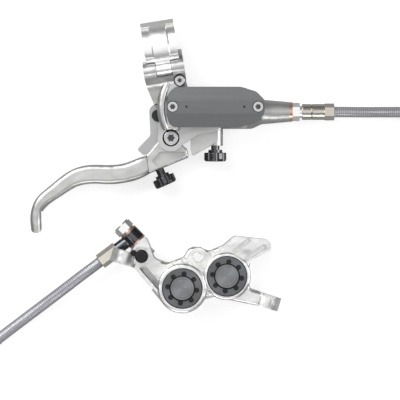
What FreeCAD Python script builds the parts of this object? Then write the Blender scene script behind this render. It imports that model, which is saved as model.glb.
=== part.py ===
import FreeCAD, Part
import math
import os
import re

import Sketcher

Vector = FreeCAD.Vector
Rotation = FreeCAD.Rotation
Placement = FreeCAD.Placement

# A hydraulic disc brake set laid flat: lever unit, hose and four-piston caliper.
# Millimetres and degrees. +X runs along the master cylinder to the hose, +Y to the handlebar, +Z up.
# Lever sizes are taken from the lever pivot, caliper sizes from midway between its mount holes.
SIZES = {
    # clearances
    "running_gap": 0.05,
    "screw_gap": 0.1,
    "free_gap": 0.3,
    # where the two units lie
    "lever_x": -14.5,
    "lever_y": 31.0,
    "caliper_x": -3.2,
    "caliper_y": -42.6,
    "caliper_turn": -17.0,
    # master cylinder
    "cylinder_y": 13.3,
    "cylinder_z": 8.5,
    "bore_diameter": 10.0,
    "barrel_diameter": 17.0,
    "mouth_x": 4.5,
    "bore_end_x": 47.0,
    "shoulder_x": 40.5,
    "snout_start_x": 45.5,
    "snout_end_x": 59.5,
    "snout_root_diameter": 12.4,
    "snout_tip_diameter": 10.0,
    "union_thread_diameter": 6.0,
    "timing_port_x": 31.0,
    "timing_port_diameter": 1.5,
    # reservoir and its lid
    "lid_y": 15.3,
    "lid_width": 20.0,
    "lid_left_x": -2.1,
    "lid_right_x": 46.7,
    "lid_seat_z": 25.0,
    "lid_thickness": 4.0,
    "lid_flat_width": 6.4,
    "lid_side_drop": 1.5,
    "lid_recess": 1.6,
    "lid_screw_left_x": 0.9,
    "lid_screw_right_x": 43.4,
    "lid_screw_head": 5.0,
    "lid_screw_head_height": 1.5,
    "lid_screw_rim": 0.3,
    "star_inner": 0.72,
    "lid_screw_diameter": 2.6,
    "lid_screw_length": 11.0,
    "lid_vent_diameter": 1.0,
    "lid_vent_inset": 6.9,
    "diaphragm_thickness": 0.8,
    "diaphragm_drop": 4.0,
    "reservoir_left_x": 5.2,
    "reservoir_right_x": 38.6,
    "reservoir_width": 15.4,
    "reservoir_floor_z": 15.6,
    "rim_top_z": 27.8,
    "rim_edge_round": 1.8,
    "flank_right_x": 38.0,
    # pivot
    "blade_bottom_z": 3.1,
    "blade_height": 10.8,
    "ear_radius": 6.7,
    "upper_ear_thickness": 4.8,
    "lower_ear_thickness": 2.6,
    "pivot_diameter": 5.0,
    "pivot_head_diameter": 7.4,
    "pivot_head_height": 2.2,
    "pivot_head_rim": 0.5,
    "pivot_bush_diameter": 7.0,
    "actuator_thickness": 4.2,
    "actuator_slot_y": 20.8,
    # bar clamp
    "clamp_x": -5.1,
    "clamp_y": 44.5,
    "bar_z": 19.5,
    "bar_diameter": 22.2,
    "bar_tilt": 9.0,
    "strap_wall": 2.9,
    "strap_width": 16.6,
    "perch_width": 20.4,
    "split_gap": 0.8,
    "hinge_v": -10.6,
    "hinge_w": 10.9,
    "hinge_diameter": 7.4,
    "hinge_pin_diameter": 3.0,
    "strap_knuckle": 7.4,
    "strap_rib": 7.8,
    "strap_pocket_wall": 1.6,
    "strap_pocket_middle": 72.0,
    "strap_pocket_sweep": 74.0,
    "clamp_bolt_w": -15.2,
    "clamp_bolt_diameter": 5.0,
    "clamp_bolt_head": 8.4,
    "clamp_bolt_head_height": 4.6,
    "clamp_bolt_depth": 12.5,
    "clamp_lug_v": 9.2,
    "clamp_lug_bottom_w": -19.5,
    "lock_screw_u": 6.9,
    "lock_screw_v": -17.4,
    "lock_screw_w": 8.2,
    "lock_screw_head": 5.4,
    "lock_screw_head_height": 1.7,
    "lock_screw_diameter": 2.8,
    "lock_screw_length": 7.0,
    # lever blade
    "blade_edge_round": 2.2,
    "blade_root_round": 1.0,
    "blade_pocket_depth": 2.8,
    # push rod and master piston
    "barrel_pin_x": -6.75,
    "barrel_pin_y": 11.4,
    "barrel_pin_diameter": 6.0,
    "barrel_pin_height": 6.6,
    "push_rod_length": 16.0,
    "push_rod_diameter": 3.0,
    "push_rod_ball": 4.0,
    "rod_window": 5.0,
    "piston_left_x": 7.5,
    "piston_length": 20.0,
    "piston_cup_diameter": 5.2,
    "piston_nose_length": 3.0,
    "piston_nose_diameter": 4.4,
    "seal_width": 2.4,
    "seal_groove_diameter": 7.2,
    "rear_seal_x": 4.6,
    "front_seal_x": 13.4,
    "circlip_thickness": 1.0,
    "circlip_diameter": 11.4,
    "circlip_bore": 7.6,
    "spring_wire": 0.9,
    "spring_diameter": 7.6,
    "spring_turns": 6.0,
    # adjuster knobs
    "knob_diameter": 11.2,
    "knob_height": 4.4,
    "knob_scallop": 2.2,
    "knob_scallops": 9.0,
    "knob_neck_diameter": 7.0,
    "knob_neck_height": 1.4,
    "knob_stem_diameter": 4.2,
    "knob_stem_gap": 2.2,
    "bite_boss_x": 22.2,
    "bite_boss_y": -3.6,
    "bite_boss_diameter": 7.6,
    "bite_screw_depth": 7.0,
    "reach_x": -5.6,
    "reach_y": -16.2,
    "reach_turn": -66.0,
    "reach_screw_depth": 9.7,
    # hose union at the lever
    "copper_thickness": 1.5,
    "copper_diameter": 9.8,
    "union_hex": 8.0,
    "union_hex_length": 3.6,
    "union_neck_diameter": 6.0,
    "union_neck_length": 1.2,
    "union_spigot_length": 8.0,
    "union_thread_length": 6.5,
    "nut_diameter": 8.0,
    "nut_length": 11.4,
    "nut_groove_x": 4.9,
    "nut_hex": 7.4,
    "nut_hex_length": 4.8,
    "hose_diameter": 5.3,
    "hose_insert": 3.0,
    # caliper body
    "mount_spacing": 74.2,
    "mount_slot_width": 6.4,
    "mount_slot_length": 9.4,
    "tab_width": 13.0,
    "tab_height": 13.6,
    "tab_thickness": 6.6,
    "tab_z": 25.5,
    "left_bore_u": -5.0,
    "left_bore_v": -2.7,
    "right_bore_u": 14.4,
    "right_bore_v": 9.5,
    "left_wall_radius": 12.3,
    "right_wall_radius": 11.8,
    "body_height": 32.0,
    "body_edge_round": 1.3,
    "boss_edge_round": 1.3,
    "scallop_diameter": 3.0,
    "scallop_depth": 4.0,
    "boss_top_z": 36.0,
    "arm_top_z": 27.0,
    "fin_top_z": 29.5,
    "fin_groove_width": 2.3,
    "fin_groove_depth": 4.0,
    "web_height": 9.0,
    "rotor_z": 17.0,
    "rotor_slot": 3.6,
    "rotor_radius": 82.0,
    "rotor_edge": 9.8,
    "pad_room_thickness": 12.0,
    "pad_end_gap": 1.2,
    "pad_room_top": 10.6,
    "pad_window": 17.0,
    "bore_floor": 3.0,
    "piston_diameter": 16.0,
    "piston_height": 7.8,
    "piston_hollow": 11.0,
    "seal_height": 2.0,
    "seal_ring_width": 1.4,
    "seal_depth": 2.6,
    # bore caps
    "cap_diameter": 20.2,
    "cap_seat_z": 31.0,
    "cap_proud": 0.5,
    "cap_recess_diameter": 12.2,
    "cap_recess_depth": 2.6,
    "cap_notch_diameter": 2.6,
    "cap_notch_radius": 7.2,
    "cap_notches": 8.0,
    "cap_seal_width": 1.2,
    # pads
    "pad_length": 40.0,
    "pad_bottom": -8.6,
    "pad_top": 9.6,
    "pad_ear_width": 9.0,
    "pad_backing": 1.8,
    "pad_friction": 2.2,
    "pad_margin": 1.6,
    "rotor_gap": 2.5,
    "pad_pin_n": 12.6,
    "pad_pin_diameter": 4.0,
    "pad_pin_head": 4.8,
    "pad_pin_head_height": 0.6,
    "pin_boss_radius": 4.9,
    "leaf_thickness": 0.4,
    # banjo and bleed nipple
    "banjo_u": -32.8,
    "banjo_v": 12.2,
    "banjo_z": 9.0,
    "banjo_turn": -28.0,
    "banjo_eye_diameter": 9.6,
    "banjo_eye_width": 5.6,
    "banjo_washer": 1.0,
    "banjo_bolt_diameter": 5.8,
    "banjo_bolt_depth": 9.0,
    "banjo_bolt_hex": 8.4,
    "banjo_bolt_head": 5.0,
    "banjo_neck_diameter": 6.0,
    "banjo_neck_length": 10.0,
    "hose_turn": 233.9,
    "ferrule_width": 6.8,
    "ferrule_length": 10.6,
    "bleed_u": -28.9,
    "bleed_v": 6.6,
    "bleed_boss_diameter": 9.8,
    "bleed_boss_z": 30.0,
    "bleed_thread_diameter": 5.6,
    "bleed_thread_length": 8.0,
    "bleed_hex": 6.0,
    "bleed_hex_length": 3.0,
    "bleed_stem_diameter": 4.0,
    "bleed_stem_length": 3.6,
    "bleed_cap_diameter": 6.6,
    "bleed_cap_height": 5.6,
    "bleed_tail_length": 4.3,
    "bleed_tail_diameter": 3.0,
    # the way the hose lies, from the middle of the set
    "coil_x": 143.0,
    "coil_y": 0.0,
    "coil_radius": 27.0,
    "coil_turns": 2.0,
    "hose_bend": 27.0,
    "hose_low_y": -135.0,
    "hose_rise": 35.0,
    "hose_start_run": 25.0,
}

# Corners of the cut outlines: x, y and corner radius.
OUTLINES = {
    # rim round the left end of the lid, and the web that carries the upper ear
    "rim": [(-6.2, 21.2, 6.0), (-6.2, 9.6, 5.0), (-2.6, 3.4, 2.2), (5.0, 3.4, 2.0),
            (5.0, 27.0, 2.0), (-1.6, 28.6, 3.0)],
    "web": [(-6.4, 8.0, 1.0), (-6.4, 0.0, 1.0), (0.6, -6.6, 1.0), (5.4, -3.8, 3.0), (13.6, 1.8, 8.0),
            (24.0, 3.6, 2.0), (24.0, 9.0, 1.0)],
    "foot": [(-6.4, 3.0, 2.0), (6.4, -1.0, 2.0), (13.0, 9.0, 2.0), (13.0, 13.0, 1.0), (5.0, 13.0, 1.0)],
    "skirt": [(9.7, 8.0, 1.0), (9.7, -5.0, 1.0), (10.4, -9.0, 1.0), (20.0, -3.6, 2.0), (23.5, -1.0, 2.0),
              (23.5, 8.0, 1.0)],
    # perch section across the bar, from the bar axis
    "perch": [(-1.0, -8.6, 0.2), (-9.6, 8.4, 0.2), (-10.6, 14.2, 0.2), (-13.6, 13.2, 2.0),
              (-17.6, 8.6, 4.0), (-20.5, 7.6, 2.0), (-27.0, 6.6, 1.0), (-27.0, -17.0, 1.0),
              (-13.0, -19.5, 3.0), (-1.0, -19.5, 1.0)],
    "perch_left_cut": [(-7.6, -27.0, 0.5), (-9.4, -20.0, 3.0), (-10.3, -14.5, 0.5), (-16.0, -14.5, 0.5),
                       (-16.0, -30.0, 0.5), (-7.6, -30.0, 0.5)],
    # lever blade root, its finger pocket and the actuator
    "blade_root": [(-12.8, -8.7, 1.4), (-6.3, -1.2, 2.0), (-5.0, 5.0, 4.4), (5.0, 5.0, 4.4),
                   (5.6, -3.6, 2.0), (8.0, -5.4, 1.4), (8.9, -9.5, 1.4), (-8.0, -16.4, 4.0),
                   (-11.6, -17.9, 1.4)],
    "blade_slot": [(-22.0, 8.0, 0.5), (-22.0, -9.0, 0.5), (-13.4, -9.0, 0.5), (-8.9, -6.3, 0.5),
                   (-5.5, -5.6, 0.5), (7.0, -5.6, 0.5), (7.0, 8.0, 0.5)],
    "blade_pocket": [(-5.6, -6.8, 0.6), (-9.6, -11.2, 0.8), (-7.2, -14.2, 0.8), (7.2, -8.6, 0.8),
                     (6.4, -6.8, 0.8)],
    "actuator": [(-11.2, 17.0, 3.6), (-4.2, 17.0, 3.0), (-2.8, 8.0, 2.0), (5.0, 4.9, 4.2),
                 (5.0, -4.9, 4.2), (-4.9, -4.9, 3.0), (-9.3, -5.9, 1.0), (-13.8, -8.6, 1.3),
                 (-17.2, -5.6, 1.3), (-10.4, 1.4, 3.0)],
    # caliper edge, seen from the outboard side
    "caliper_left": [(-34.0, 0.4, 1.4), (-29.6, -1.0, 3.0)],
    "caliper_right": [(7.7, -2.6, 2.4), (34.0, 0.0, 1.4), (34.0, 6.4, 1.4), (27.6, 6.4, 3.0),
                      (24.9, 11.0, 3.0), (23.2, 20.4, 3.0), (31.8, 27.6, 2.0), (30.4, 33.0, 3.0),
                      (12.2, 29.6, 3.0), (8.2, 23.4, 4.0), (2.6, 18.6, 3.0), (-7.6, 18.6, 4.6),
                      (-8.8, 12.0, 3.0), (-15.6, 6.6, 5.0), (-22.6, 7.0, 4.0)],
    "web_pocket": [(-28.6, 0.6, 0.6), (-26.2, -1.1, 1.0), (-15.2, -7.8, 0.6), (-17.2, -2.6, 3.0),
                   (-25.6, 2.4, 2.0)],
    "arm_top": [(-50.0, -8.0, 1.0), (-19.0, -8.0, 1.0), (-19.0, 30.0, 1.0), (-50.0, 30.0, 1.0)],
    "fin_top": [(7.0, 22.4, 1.0), (22.0, 19.2, 5.0), (40.0, 14.0, 1.0), (40.0, 40.0, 1.0), (7.0, 40.0, 1.0)],
}

# Middle line of the finger part of the blade: x, y, width across and height.
BLADE_STATIONS = [
    (-10.0, -12.6, 8.4, 9.4), (-14.2, -14.2, 9.5, 10.6), (-22.7, -17.3, 9.6, 10.4), (-29.5, -18.2, 9.6, 10.1),
    (-35.4, -18.1, 9.5, 9.8), (-40.6, -18.1, 9.4, 9.6), (-44.6, -18.7, 9.2, 9.4), (-49.0, -20.2, 8.6, 9.2),
    (-53.7, -23.1, 8.0, 9.0), (-59.0, -27.0, 7.3, 8.7), (-63.5, -30.5, 6.8, 8.4), (-67.0, -35.0, 5.8, 8.1),
    (-68.1, -39.5, 5.4, 7.8), (-68.0, -43.2, 5.4, 7.5), (-67.8, -47.6, 5.2, 7.2),
]

# Scallops in the upper edge of the caliper: middle u and v.
EDGE_SCALLOPS = [(10.0, 25.6), (7.4, 21.9), (3.6, 18.6), (-8.6, 11.2), (-12.9, 8.4)]

# Fin grooves: middle u, v, length and direction.
FIN_GROOVES = [(17.0, 26.0, 11.0, 56.0), (24.4, 24.6, 13.0, 53.0)]

doc = FreeCAD.newDocument("disc_brake")
sheet = doc.addObject("Spreadsheet::Sheet", "Sizes")
aliases = set()


def add_size(name, number):
    row = len(aliases) + 1
    sheet.set(f"A{row}", name)
    sheet.set(f"B{row}", str(number))
    sheet.setAlias(f"B{row}", name)
    aliases.add(name)


def add_outline(name, corners):
    for index, corner in enumerate(corners, 1):
        for part, number in zip(("x", "y", "round"), corner):
            add_size(f"{name}_{index}_{part}", number)


for size_name, size_number in SIZES.items():
    add_size(size_name, size_number)
for outline_name, outline_corners in OUTLINES.items():
    add_outline(outline_name, outline_corners)
for station_index, station in enumerate(BLADE_STATIONS, 1):
    for station_part, station_number in zip(("x", "y", "width", "height"), station):
        add_size(f"blade_{station_index}_{station_part}", station_number)
for scallop_index, scallop in enumerate(EDGE_SCALLOPS, 1):
    for scallop_part, scallop_number in zip("uv", scallop):
        add_size(f"scallop_{scallop_index}_{scallop_part}", scallop_number)
for groove_index, fin_groove in enumerate(FIN_GROOVES, 1):
    for groove_part, groove_number in zip(("u", "v", "length", "turn"), fin_groove):
        add_size(f"fin_groove_{groove_index}_{groove_part}", groove_number)
doc.recompute()


def size(expression):
    """Value of an expression over the sheet's sizes."""
    return float(sheet.evalExpression(str(expression)))


def linked(expression):
    """The same expression, with each size named by its sheet."""
    return re.sub(r"[A-Za-z_]\w*", lambda m: f"Sizes.{m[0]}" if m[0] in aliases else m[0], str(expression))


def named_corners(name):
    count = len(OUTLINES[name])
    return [tuple(f"{name}_{index}_{part}" for part in ("x", "y", "round")) for index in range(1, count + 1)]


def new_body(label):
    body = doc.addObject("PartDesign::Body", label)
    body.Label = label
    return body


def new_sketch(body, role, x=0, y=0, lift=0, turn=0, yaw=0, pitch=0):
    """Sketch on one of the body's own planes, moved in that plane's axes and turned about them."""
    plane = next(item for item in body.Origin.OriginFeatures if item.Role == role)
    sketch = body.newObject("Sketcher::SketchObject", f"{body.Label}_sketch")
    sketch.AttachmentSupport = [(plane, "")]
    sketch.MapMode = "FlatFace"
    facing = Rotation()
    for axis, angle in ((Vector(0, 0, 1), turn), (Vector(0, 1, 0), yaw), (Vector(1, 0, 0), pitch)):
        facing = facing.multiply(Rotation(axis, size(angle)))
    sketch.AttachmentOffset = Placement(Vector(0, 0, 0), facing)
    for axis, place in zip("xyz", (x, y, lift)):
        sketch.setExpression(f"AttachmentOffset.Base.{axis}", linked(place))
    return sketch


def constrain(sketch, rules):
    """Add constraints in one go; a rule with an expression keeps that constraint bound to the sheet."""
    indices = sketch.addConstraint([rule[0] for rule in rules])
    for index, rule in zip(indices, rules):
        if len(rule) == 2:
            sketch.setExpression(f"Constraints[{index}]", linked(rule[1]))


def held_at(geometry, position, x, y):
    """Rules that hold a point of a sketch at two expressions."""
    return [(Sketcher.Constraint("DistanceX", -1, 1, geometry, position, size(x)), x),
            (Sketcher.Constraint("DistanceY", -1, 1, geometry, position, size(y)), y)]


def add_polygon(sketch, corners):
    """Closed outline of straight edges; a corner with a third value is rounded by that radius."""
    points = [Vector(size(corner[0]), size(corner[1]), 0) for corner in corners]
    arrive, leave, arcs, left_turn = {}, {}, {}, {}
    for index, corner in enumerate(corners):
        point = points[index]
        arrive[index] = leave[index] = point
        if len(corner) == 3:
            back = (points[index - 1] - point).normalize()
            ahead = (points[(index + 1) % len(points)] - point).normalize()
            half = back.getAngle(ahead) / 2
            radius = size(corner[2])
            arrive[index] = point + back * (radius / math.tan(half))
            leave[index] = point + ahead * (radius / math.tan(half))
            centre = point + (back + ahead).normalize() * (radius / math.sin(half))
            left_turn[index] = ahead.cross(back).z > 0
            ends = (arrive[index], leave[index]) if left_turn[index] else (leave[index], arrive[index])
            angles = [math.atan2(end.y - centre.y, end.x - centre.x) for end in ends]
            arcs[index] = Part.ArcOfCircle(Part.Circle(centre, Vector(0, 0, 1), radius), *angles)
    following = [(index + 1) % len(points) for index in range(len(points))]
    edges = sketch.addGeometry([Part.LineSegment(leave[index], arrive[ahead])
                                for index, ahead in enumerate(following)])
    rules = []
    for index, corner in enumerate(corners):
        before, after = edges[index - 1], edges[index]
        if index in arcs:
            arc = sketch.addGeometry(arcs[index])
            start = 1 if left_turn[index] else 2
            held = sketch.addGeometry(Part.Point(points[index]), True)
            rules.append((Sketcher.Constraint("Tangent", before, 2, arc, start),))
            rules.append((Sketcher.Constraint("Tangent", arc, 3 - start, after, 1),))
            rules.append((Sketcher.Constraint("Radius", arc, size(corner[2])), corner[2]))
            rules.append((Sketcher.Constraint("PointOnObject", held, 1, before),))
            rules.append((Sketcher.Constraint("PointOnObject", held, 1, after),))
        else:
            held = after
            rules.append((Sketcher.Constraint("Coincident", before, 2, after, 1),))
        rules += held_at(held, 1, *corner[:2])
    constrain(sketch, rules)
    return sketch


def add_circle(sketch, x, y, radius):
    centre = Vector(size(x), size(y), 0)
    circle = sketch.addGeometry(Part.Circle(centre, Vector(0, 0, 1), size(radius)))
    constrain(sketch, [(Sketcher.Constraint("Radius", circle, size(radius)), radius)]
              + held_at(circle, 3, x, y))
    return sketch


def box_corners(left, bottom, right, top, radius=None):
    corners = [(left, bottom), (right, bottom), (right, top), (left, top)]
    return corners if radius is None else [corner + (radius,) for corner in corners]


def turned_box(x, y, length, width, turn, radius):
    """Corners of a rounded bar that lies along a direction."""
    corners = []
    for along, across in ((-1, -1), (1, -1), (1, 1), (-1, 1)):
        step = f"({along}*({length})/2)"
        side = f"({across}*({width})/2)"
        corners.append((f"{x} + {step}*cos({turn}) - {side}*sin({turn})",
                        f"{y} + {step}*sin({turn}) + {side}*cos({turn})", radius))
    return corners


def hexagon(across_flats):
    corners = []
    for step in range(6):
        angle = 60 * step + 30
        corners.append((f"({across_flats})/sqrt(3)*cos({angle})", f"({across_flats})/sqrt(3)*sin({angle})"))
    return corners


def star(across):
    """Six-pointed drive recess."""
    corners = []
    for step in range(12):
        reach = f"({across})*star_inner/2" if step % 2 else f"({across})/2"
        corners.append((f"{reach}*cos({30 * step})", f"{reach}*sin({30 * step})"))
    return corners


def add_feature(sketch, kind, **values):
    body = sketch.getParentGeoFeatureGroup()
    feature = body.newObject(f"PartDesign::{kind}", f"{body.Label}_{kind.lower()}")
    feature.Profile = sketch
    for name, value in values.items():
        setattr(feature, name, value)
    sketch.Visibility = False
    return feature


def pad(sketch, length, side="One side", back=False):
    feature = add_feature(sketch, "Pad", SideType=side, Reversed=back)
    feature.setExpression("Length", linked(length))
    return feature


def cut(sketch, depth, side="One side", back=False):
    feature = add_feature(sketch, "Pocket", SideType=side, Reversed=back)
    feature.setExpression("Length", linked(depth))
    return feature


def revolve(sketch, axis="V_Axis"):
    return add_feature(sketch, "Revolution", ReferenceAxis=(sketch, [axis]), Angle=360.0)


def groove(sketch, axis="V_Axis", angle="360", middle=False):
    feature = add_feature(sketch, "Groove", ReferenceAxis=(sketch, [axis]), Midplane=middle)
    feature.setExpression("Angle", linked(angle))
    return feature


def end_edges(body, lower=False):
    """Names of the edges round the highest face of a body, and round its lowest face if wanted."""
    doc.recompute()
    shape = body.Tip.Shape
    top, bottom = shape.BoundBox.ZMax - 1e-3, shape.BoundBox.ZMin + 1e-3
    return [f"Edge{index}" for index, edge in enumerate(shape.Edges, 1)
            if edge.BoundBox.ZMin > top or (lower and edge.BoundBox.ZMax < bottom)]


def soften(body, edges, radius):
    """Rounded edges on the last feature of a body."""
    base = body.Tip
    feature = body.newObject("PartDesign::Fillet", f"{body.Label}_fillet")
    feature.Base = (base, edges)
    feature.setExpression("Radius", linked(radius))
    base.Visibility = False
    return feature


def repeat(body, feature, count):
    """Copies of a feature spaced evenly round the body's Z axis."""
    pattern = body.newObject("PartDesign::PolarPattern", f"{body.Label}_pattern")
    pattern.Originals = [feature]
    pattern.Axis = (next(item for item in body.Origin.OriginFeatures if item.Role == "Z_Axis"), [""])
    pattern.Angle = 360.0
    pattern.setExpression("Occurrences", linked(count))
    body.Tip = pattern
    return pattern


def turned(label, profile):
    """Body revolved about its own Z axis from corners of radius and height."""
    body = new_body(label)
    revolve(add_polygon(new_sketch(body, "XZ_Plane"), profile))
    return body


def drive_socket(body, top, across, depth):
    """Star recess sunk from the top of a screw head."""
    cut(add_polygon(new_sketch(body, "XY_Plane", lift=top), star(across)), depth)


def local(x=0, y=0, z=0, axis=(0, 0, 1), angle=0):
    return Placement(Vector(size(x), size(y), size(z)), Rotation(Vector(*axis), size(angle)))


lever = local("lever_x", "lever_y")
clamp = lever.multiply(local("clamp_x", "clamp_y", "bar_z", (0, 0, 1), "bar_tilt"))
caliper = local("caliper_x", "caliper_y", 0, (0, 0, 1), "caliper_turn")
pieces = []
hose_pieces = []


def finish(body, *placements):
    place = Placement()
    for step in placements:
        place = place.multiply(step)
    body.Placement = place
    doc.recompute()
    pieces.append(body)
    return body


upper_ear_z = "blade_bottom_z + blade_height + free_gap"
lower_ear_z = "blade_bottom_z - free_gap - lower_ear_thickness"
slot_gap = "actuator_thickness + 2*free_gap"
slot_top_z = f"cylinder_z + ({slot_gap})/2"
hinge_radius = "hinge_diameter/2"


def lid_outline(grow):
    """Plan of the lid: rounded on the left, tapered to the snout on the right."""
    half = f"(lid_width/2 + {grow})"
    left = f"lid_left_x - {grow}"
    right = f"lid_right_x + {grow}"
    upper = [(f"{right}", f"lid_y + {half}*0.34", "lid_width*0.2"),
             (f"{right} - 4.2", f"lid_y + {half}*0.76", "lid_width*0.15"),
             (f"{right} - 12", f"lid_y + {half}", "lid_width*0.2"),
             (f"{left} + 4.6", f"lid_y + {half}", "lid_width*0.2"),
             (f"{left}", f"lid_y + {half}*0.5", "lid_width*0.25")]
    lower = [(x, y.replace("lid_y +", "lid_y -"), radius) for x, y, radius in reversed(upper)]
    return upper + lower


def make_master_cylinder_body():
    body = new_body("master_cylinder_body")
    barrel = new_sketch(body, "XZ_Plane", y="cylinder_z", lift="-cylinder_y")
    add_polygon(barrel, [("mouth_x", 0), ("snout_end_x", 0), ("snout_end_x", "snout_tip_diameter/2"),
                         ("snout_start_x", "snout_root_diameter/2", 2), ("shoulder_x", "barrel_diameter/2", 3),
                         ("mouth_x", "barrel_diameter/2")])
    revolve(barrel, "H_Axis")
    flank = box_corners("mouth_x", "lid_y - lid_width/2", "flank_right_x", "lid_y + lid_width/2", 1)
    pad(add_polygon(new_sketch(body, "XY_Plane", lift="cylinder_z"), flank), f"{upper_ear_z} - cylinder_z + 1")
    bowl = new_sketch(body, "XY_Plane", lift=upper_ear_z)
    pad(add_polygon(bowl, lid_outline("0")), f"lid_seat_z - ({upper_ear_z})")
    rim = new_sketch(body, "XY_Plane", lift=upper_ear_z)
    pad(add_polygon(rim, named_corners("rim")), f"rim_top_z - ({upper_ear_z})")
    soften(body, end_edges(body), "rim_edge_round")

    across_bar = dict(role="YZ_Plane", x="clamp_y", y="bar_z", lift="clamp_x", yaw="bar_tilt")
    pad(add_polygon(new_sketch(body, **across_bar), named_corners("perch")), "perch_width", "Symmetric")
    corner = new_sketch(body, "XY_Plane", "clamp_x", "clamp_y", "rim_top_z + 12", "bar_tilt")
    cut(add_polygon(corner, named_corners("perch_left_cut")), "rim_top_z + 14")
    pad(add_circle(new_sketch(body, **across_bar), "hinge_v", "hinge_w", hinge_radius), "perch_width", "Symmetric")
    cut(add_circle(new_sketch(body, **across_bar), 0, 0, "bar_diameter/2"), "4*perch_width", "Symmetric")
    cut(add_circle(new_sketch(body, **across_bar), "hinge_v", "hinge_w", f"{hinge_radius} + free_gap"),
        "strap_knuckle + 2*free_gap", "Symmetric")
    cut(add_circle(new_sketch(body, **across_bar), "hinge_v", "hinge_w", "hinge_pin_diameter/2 + running_gap"),
        "2*perch_width", "Symmetric")

    ear = new_sketch(body, "XY_Plane", lift=upper_ear_z)
    pad(add_circle(ear, 0, 0, "ear_radius"), "upper_ear_thickness")
    web = new_sketch(body, "XY_Plane", lift=upper_ear_z)
    pad(add_polygon(web, named_corners("web")), "upper_ear_thickness")
    foot_ear = new_sketch(body, "XY_Plane", lift=lower_ear_z)
    pad(add_circle(foot_ear, 0, 0, "ear_radius"), "lower_ear_thickness")
    foot = new_sketch(body, "XY_Plane", lift=lower_ear_z)
    pad(add_polygon(foot, named_corners("foot")), "lower_ear_thickness")
    skirt = new_sketch(body, "XY_Plane", lift="blade_bottom_z")
    pad(add_polygon(skirt, named_corners("skirt")), f"{upper_ear_z} - blade_bottom_z")
    boss = new_sketch(body, "XZ_Plane", x="bite_boss_x", y="cylinder_z", lift="-cylinder_y")
    pad(add_circle(boss, 0, 0, "bite_boss_diameter/2"), "cylinder_y - bite_boss_y")

    cavity = new_sketch(body, "XY_Plane", lift="lid_seat_z")
    cavity_corners = box_corners("reservoir_left_x", "lid_y - reservoir_width/2", "reservoir_right_x",
                                 "lid_y + reservoir_width/2", 3)
    cut(add_polygon(cavity, cavity_corners), "lid_seat_z - reservoir_floor_z")
    nest = new_sketch(body, "XY_Plane", lift="lid_seat_z")
    cut(add_polygon(nest, lid_outline("free_gap/2")), "rim_top_z", back=True)
    bore = new_sketch(body, "XZ_Plane", y="cylinder_z", lift="-cylinder_y")
    clip_x = "piston_left_x - free_gap"
    add_polygon(bore, [("mouth_x - 1", 0), ("snout_end_x + 1", 0), ("snout_end_x + 1", "union_thread_diameter/2"),
                       ("bore_end_x", "union_thread_diameter/2"), ("bore_end_x", "bore_diameter/2"),
                       (clip_x, "bore_diameter/2"), (clip_x, "circlip_diameter/2"),
                       (f"{clip_x} - circlip_thickness", "circlip_diameter/2"),
                       (f"{clip_x} - circlip_thickness", "bore_diameter/2"), ("mouth_x - 1", "bore_diameter/2")])
    groove(bore, "H_Axis")
    slot = new_sketch(body, "XY_Plane", lift=slot_top_z)
    slot_corners = box_corners("mouth_x - 24", "cylinder_y - 22", "mouth_x", "actuator_slot_y", 0.5)
    cut(add_polygon(slot, slot_corners), slot_gap)
    hole = new_sketch(body, "XY_Plane", lift="rim_top_z")
    cut(add_circle(hole, 0, 0, "pivot_diameter/2 + running_gap"), "rim_top_z + 1")
    seat = new_sketch(body, "XY_Plane", lift=f"{upper_ear_z} + upper_ear_thickness - pivot_head_height")
    cut(add_circle(seat, 0, 0, "pivot_head_diameter/2 + pivot_head_rim"), "upper_ear_thickness", back=True)
    taps = new_sketch(body, "XY_Plane", lift="lid_seat_z")
    for place in ("lid_screw_left_x", "lid_screw_right_x"):
        add_circle(taps, place, "lid_y", "lid_screw_diameter/2 + screw_gap")
    cut(taps, "lid_screw_length")
    port = new_sketch(body, "XY_Plane", lift="reservoir_floor_z")
    cut(add_circle(port, "timing_port_x", "cylinder_y", "timing_port_diameter/2"), "reservoir_floor_z - cylinder_z")
    bolt = new_sketch(body, "XZ_Plane", x="clamp_x", y="bar_z", lift="-clamp_y", yaw="bar_tilt")
    cut(add_circle(bolt, 0, "clamp_bolt_w", "clamp_bolt_diameter/2 + screw_gap"),
        "2*(clamp_bolt_depth + 1)", "Symmetric")
    knob_hole = new_sketch(body, "XZ_Plane", x="bite_boss_x", y="cylinder_z", lift="-bite_boss_y")
    cut(add_circle(knob_hole, 0, 0, "knob_stem_diameter/2 + running_gap"), "bite_screw_depth + free_gap")
    above_lock = dict(x="clamp_x", y="clamp_y", lift="bar_z + lock_screw_w", turn="bar_tilt")
    lock = new_sketch(body, "XY_Plane", **above_lock)
    cut(add_circle(lock, "lock_screw_u", "lock_screw_v", "lock_screw_head/2 + free_gap"), "lid_seat_z", back=True)
    lock_tap = new_sketch(body, "XY_Plane", **above_lock)
    cut(add_circle(lock_tap, "lock_screw_u", "lock_screw_v", "lock_screw_diameter/2 + screw_gap"),
        "lock_screw_length")
    return finish(body, lever)


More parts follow.
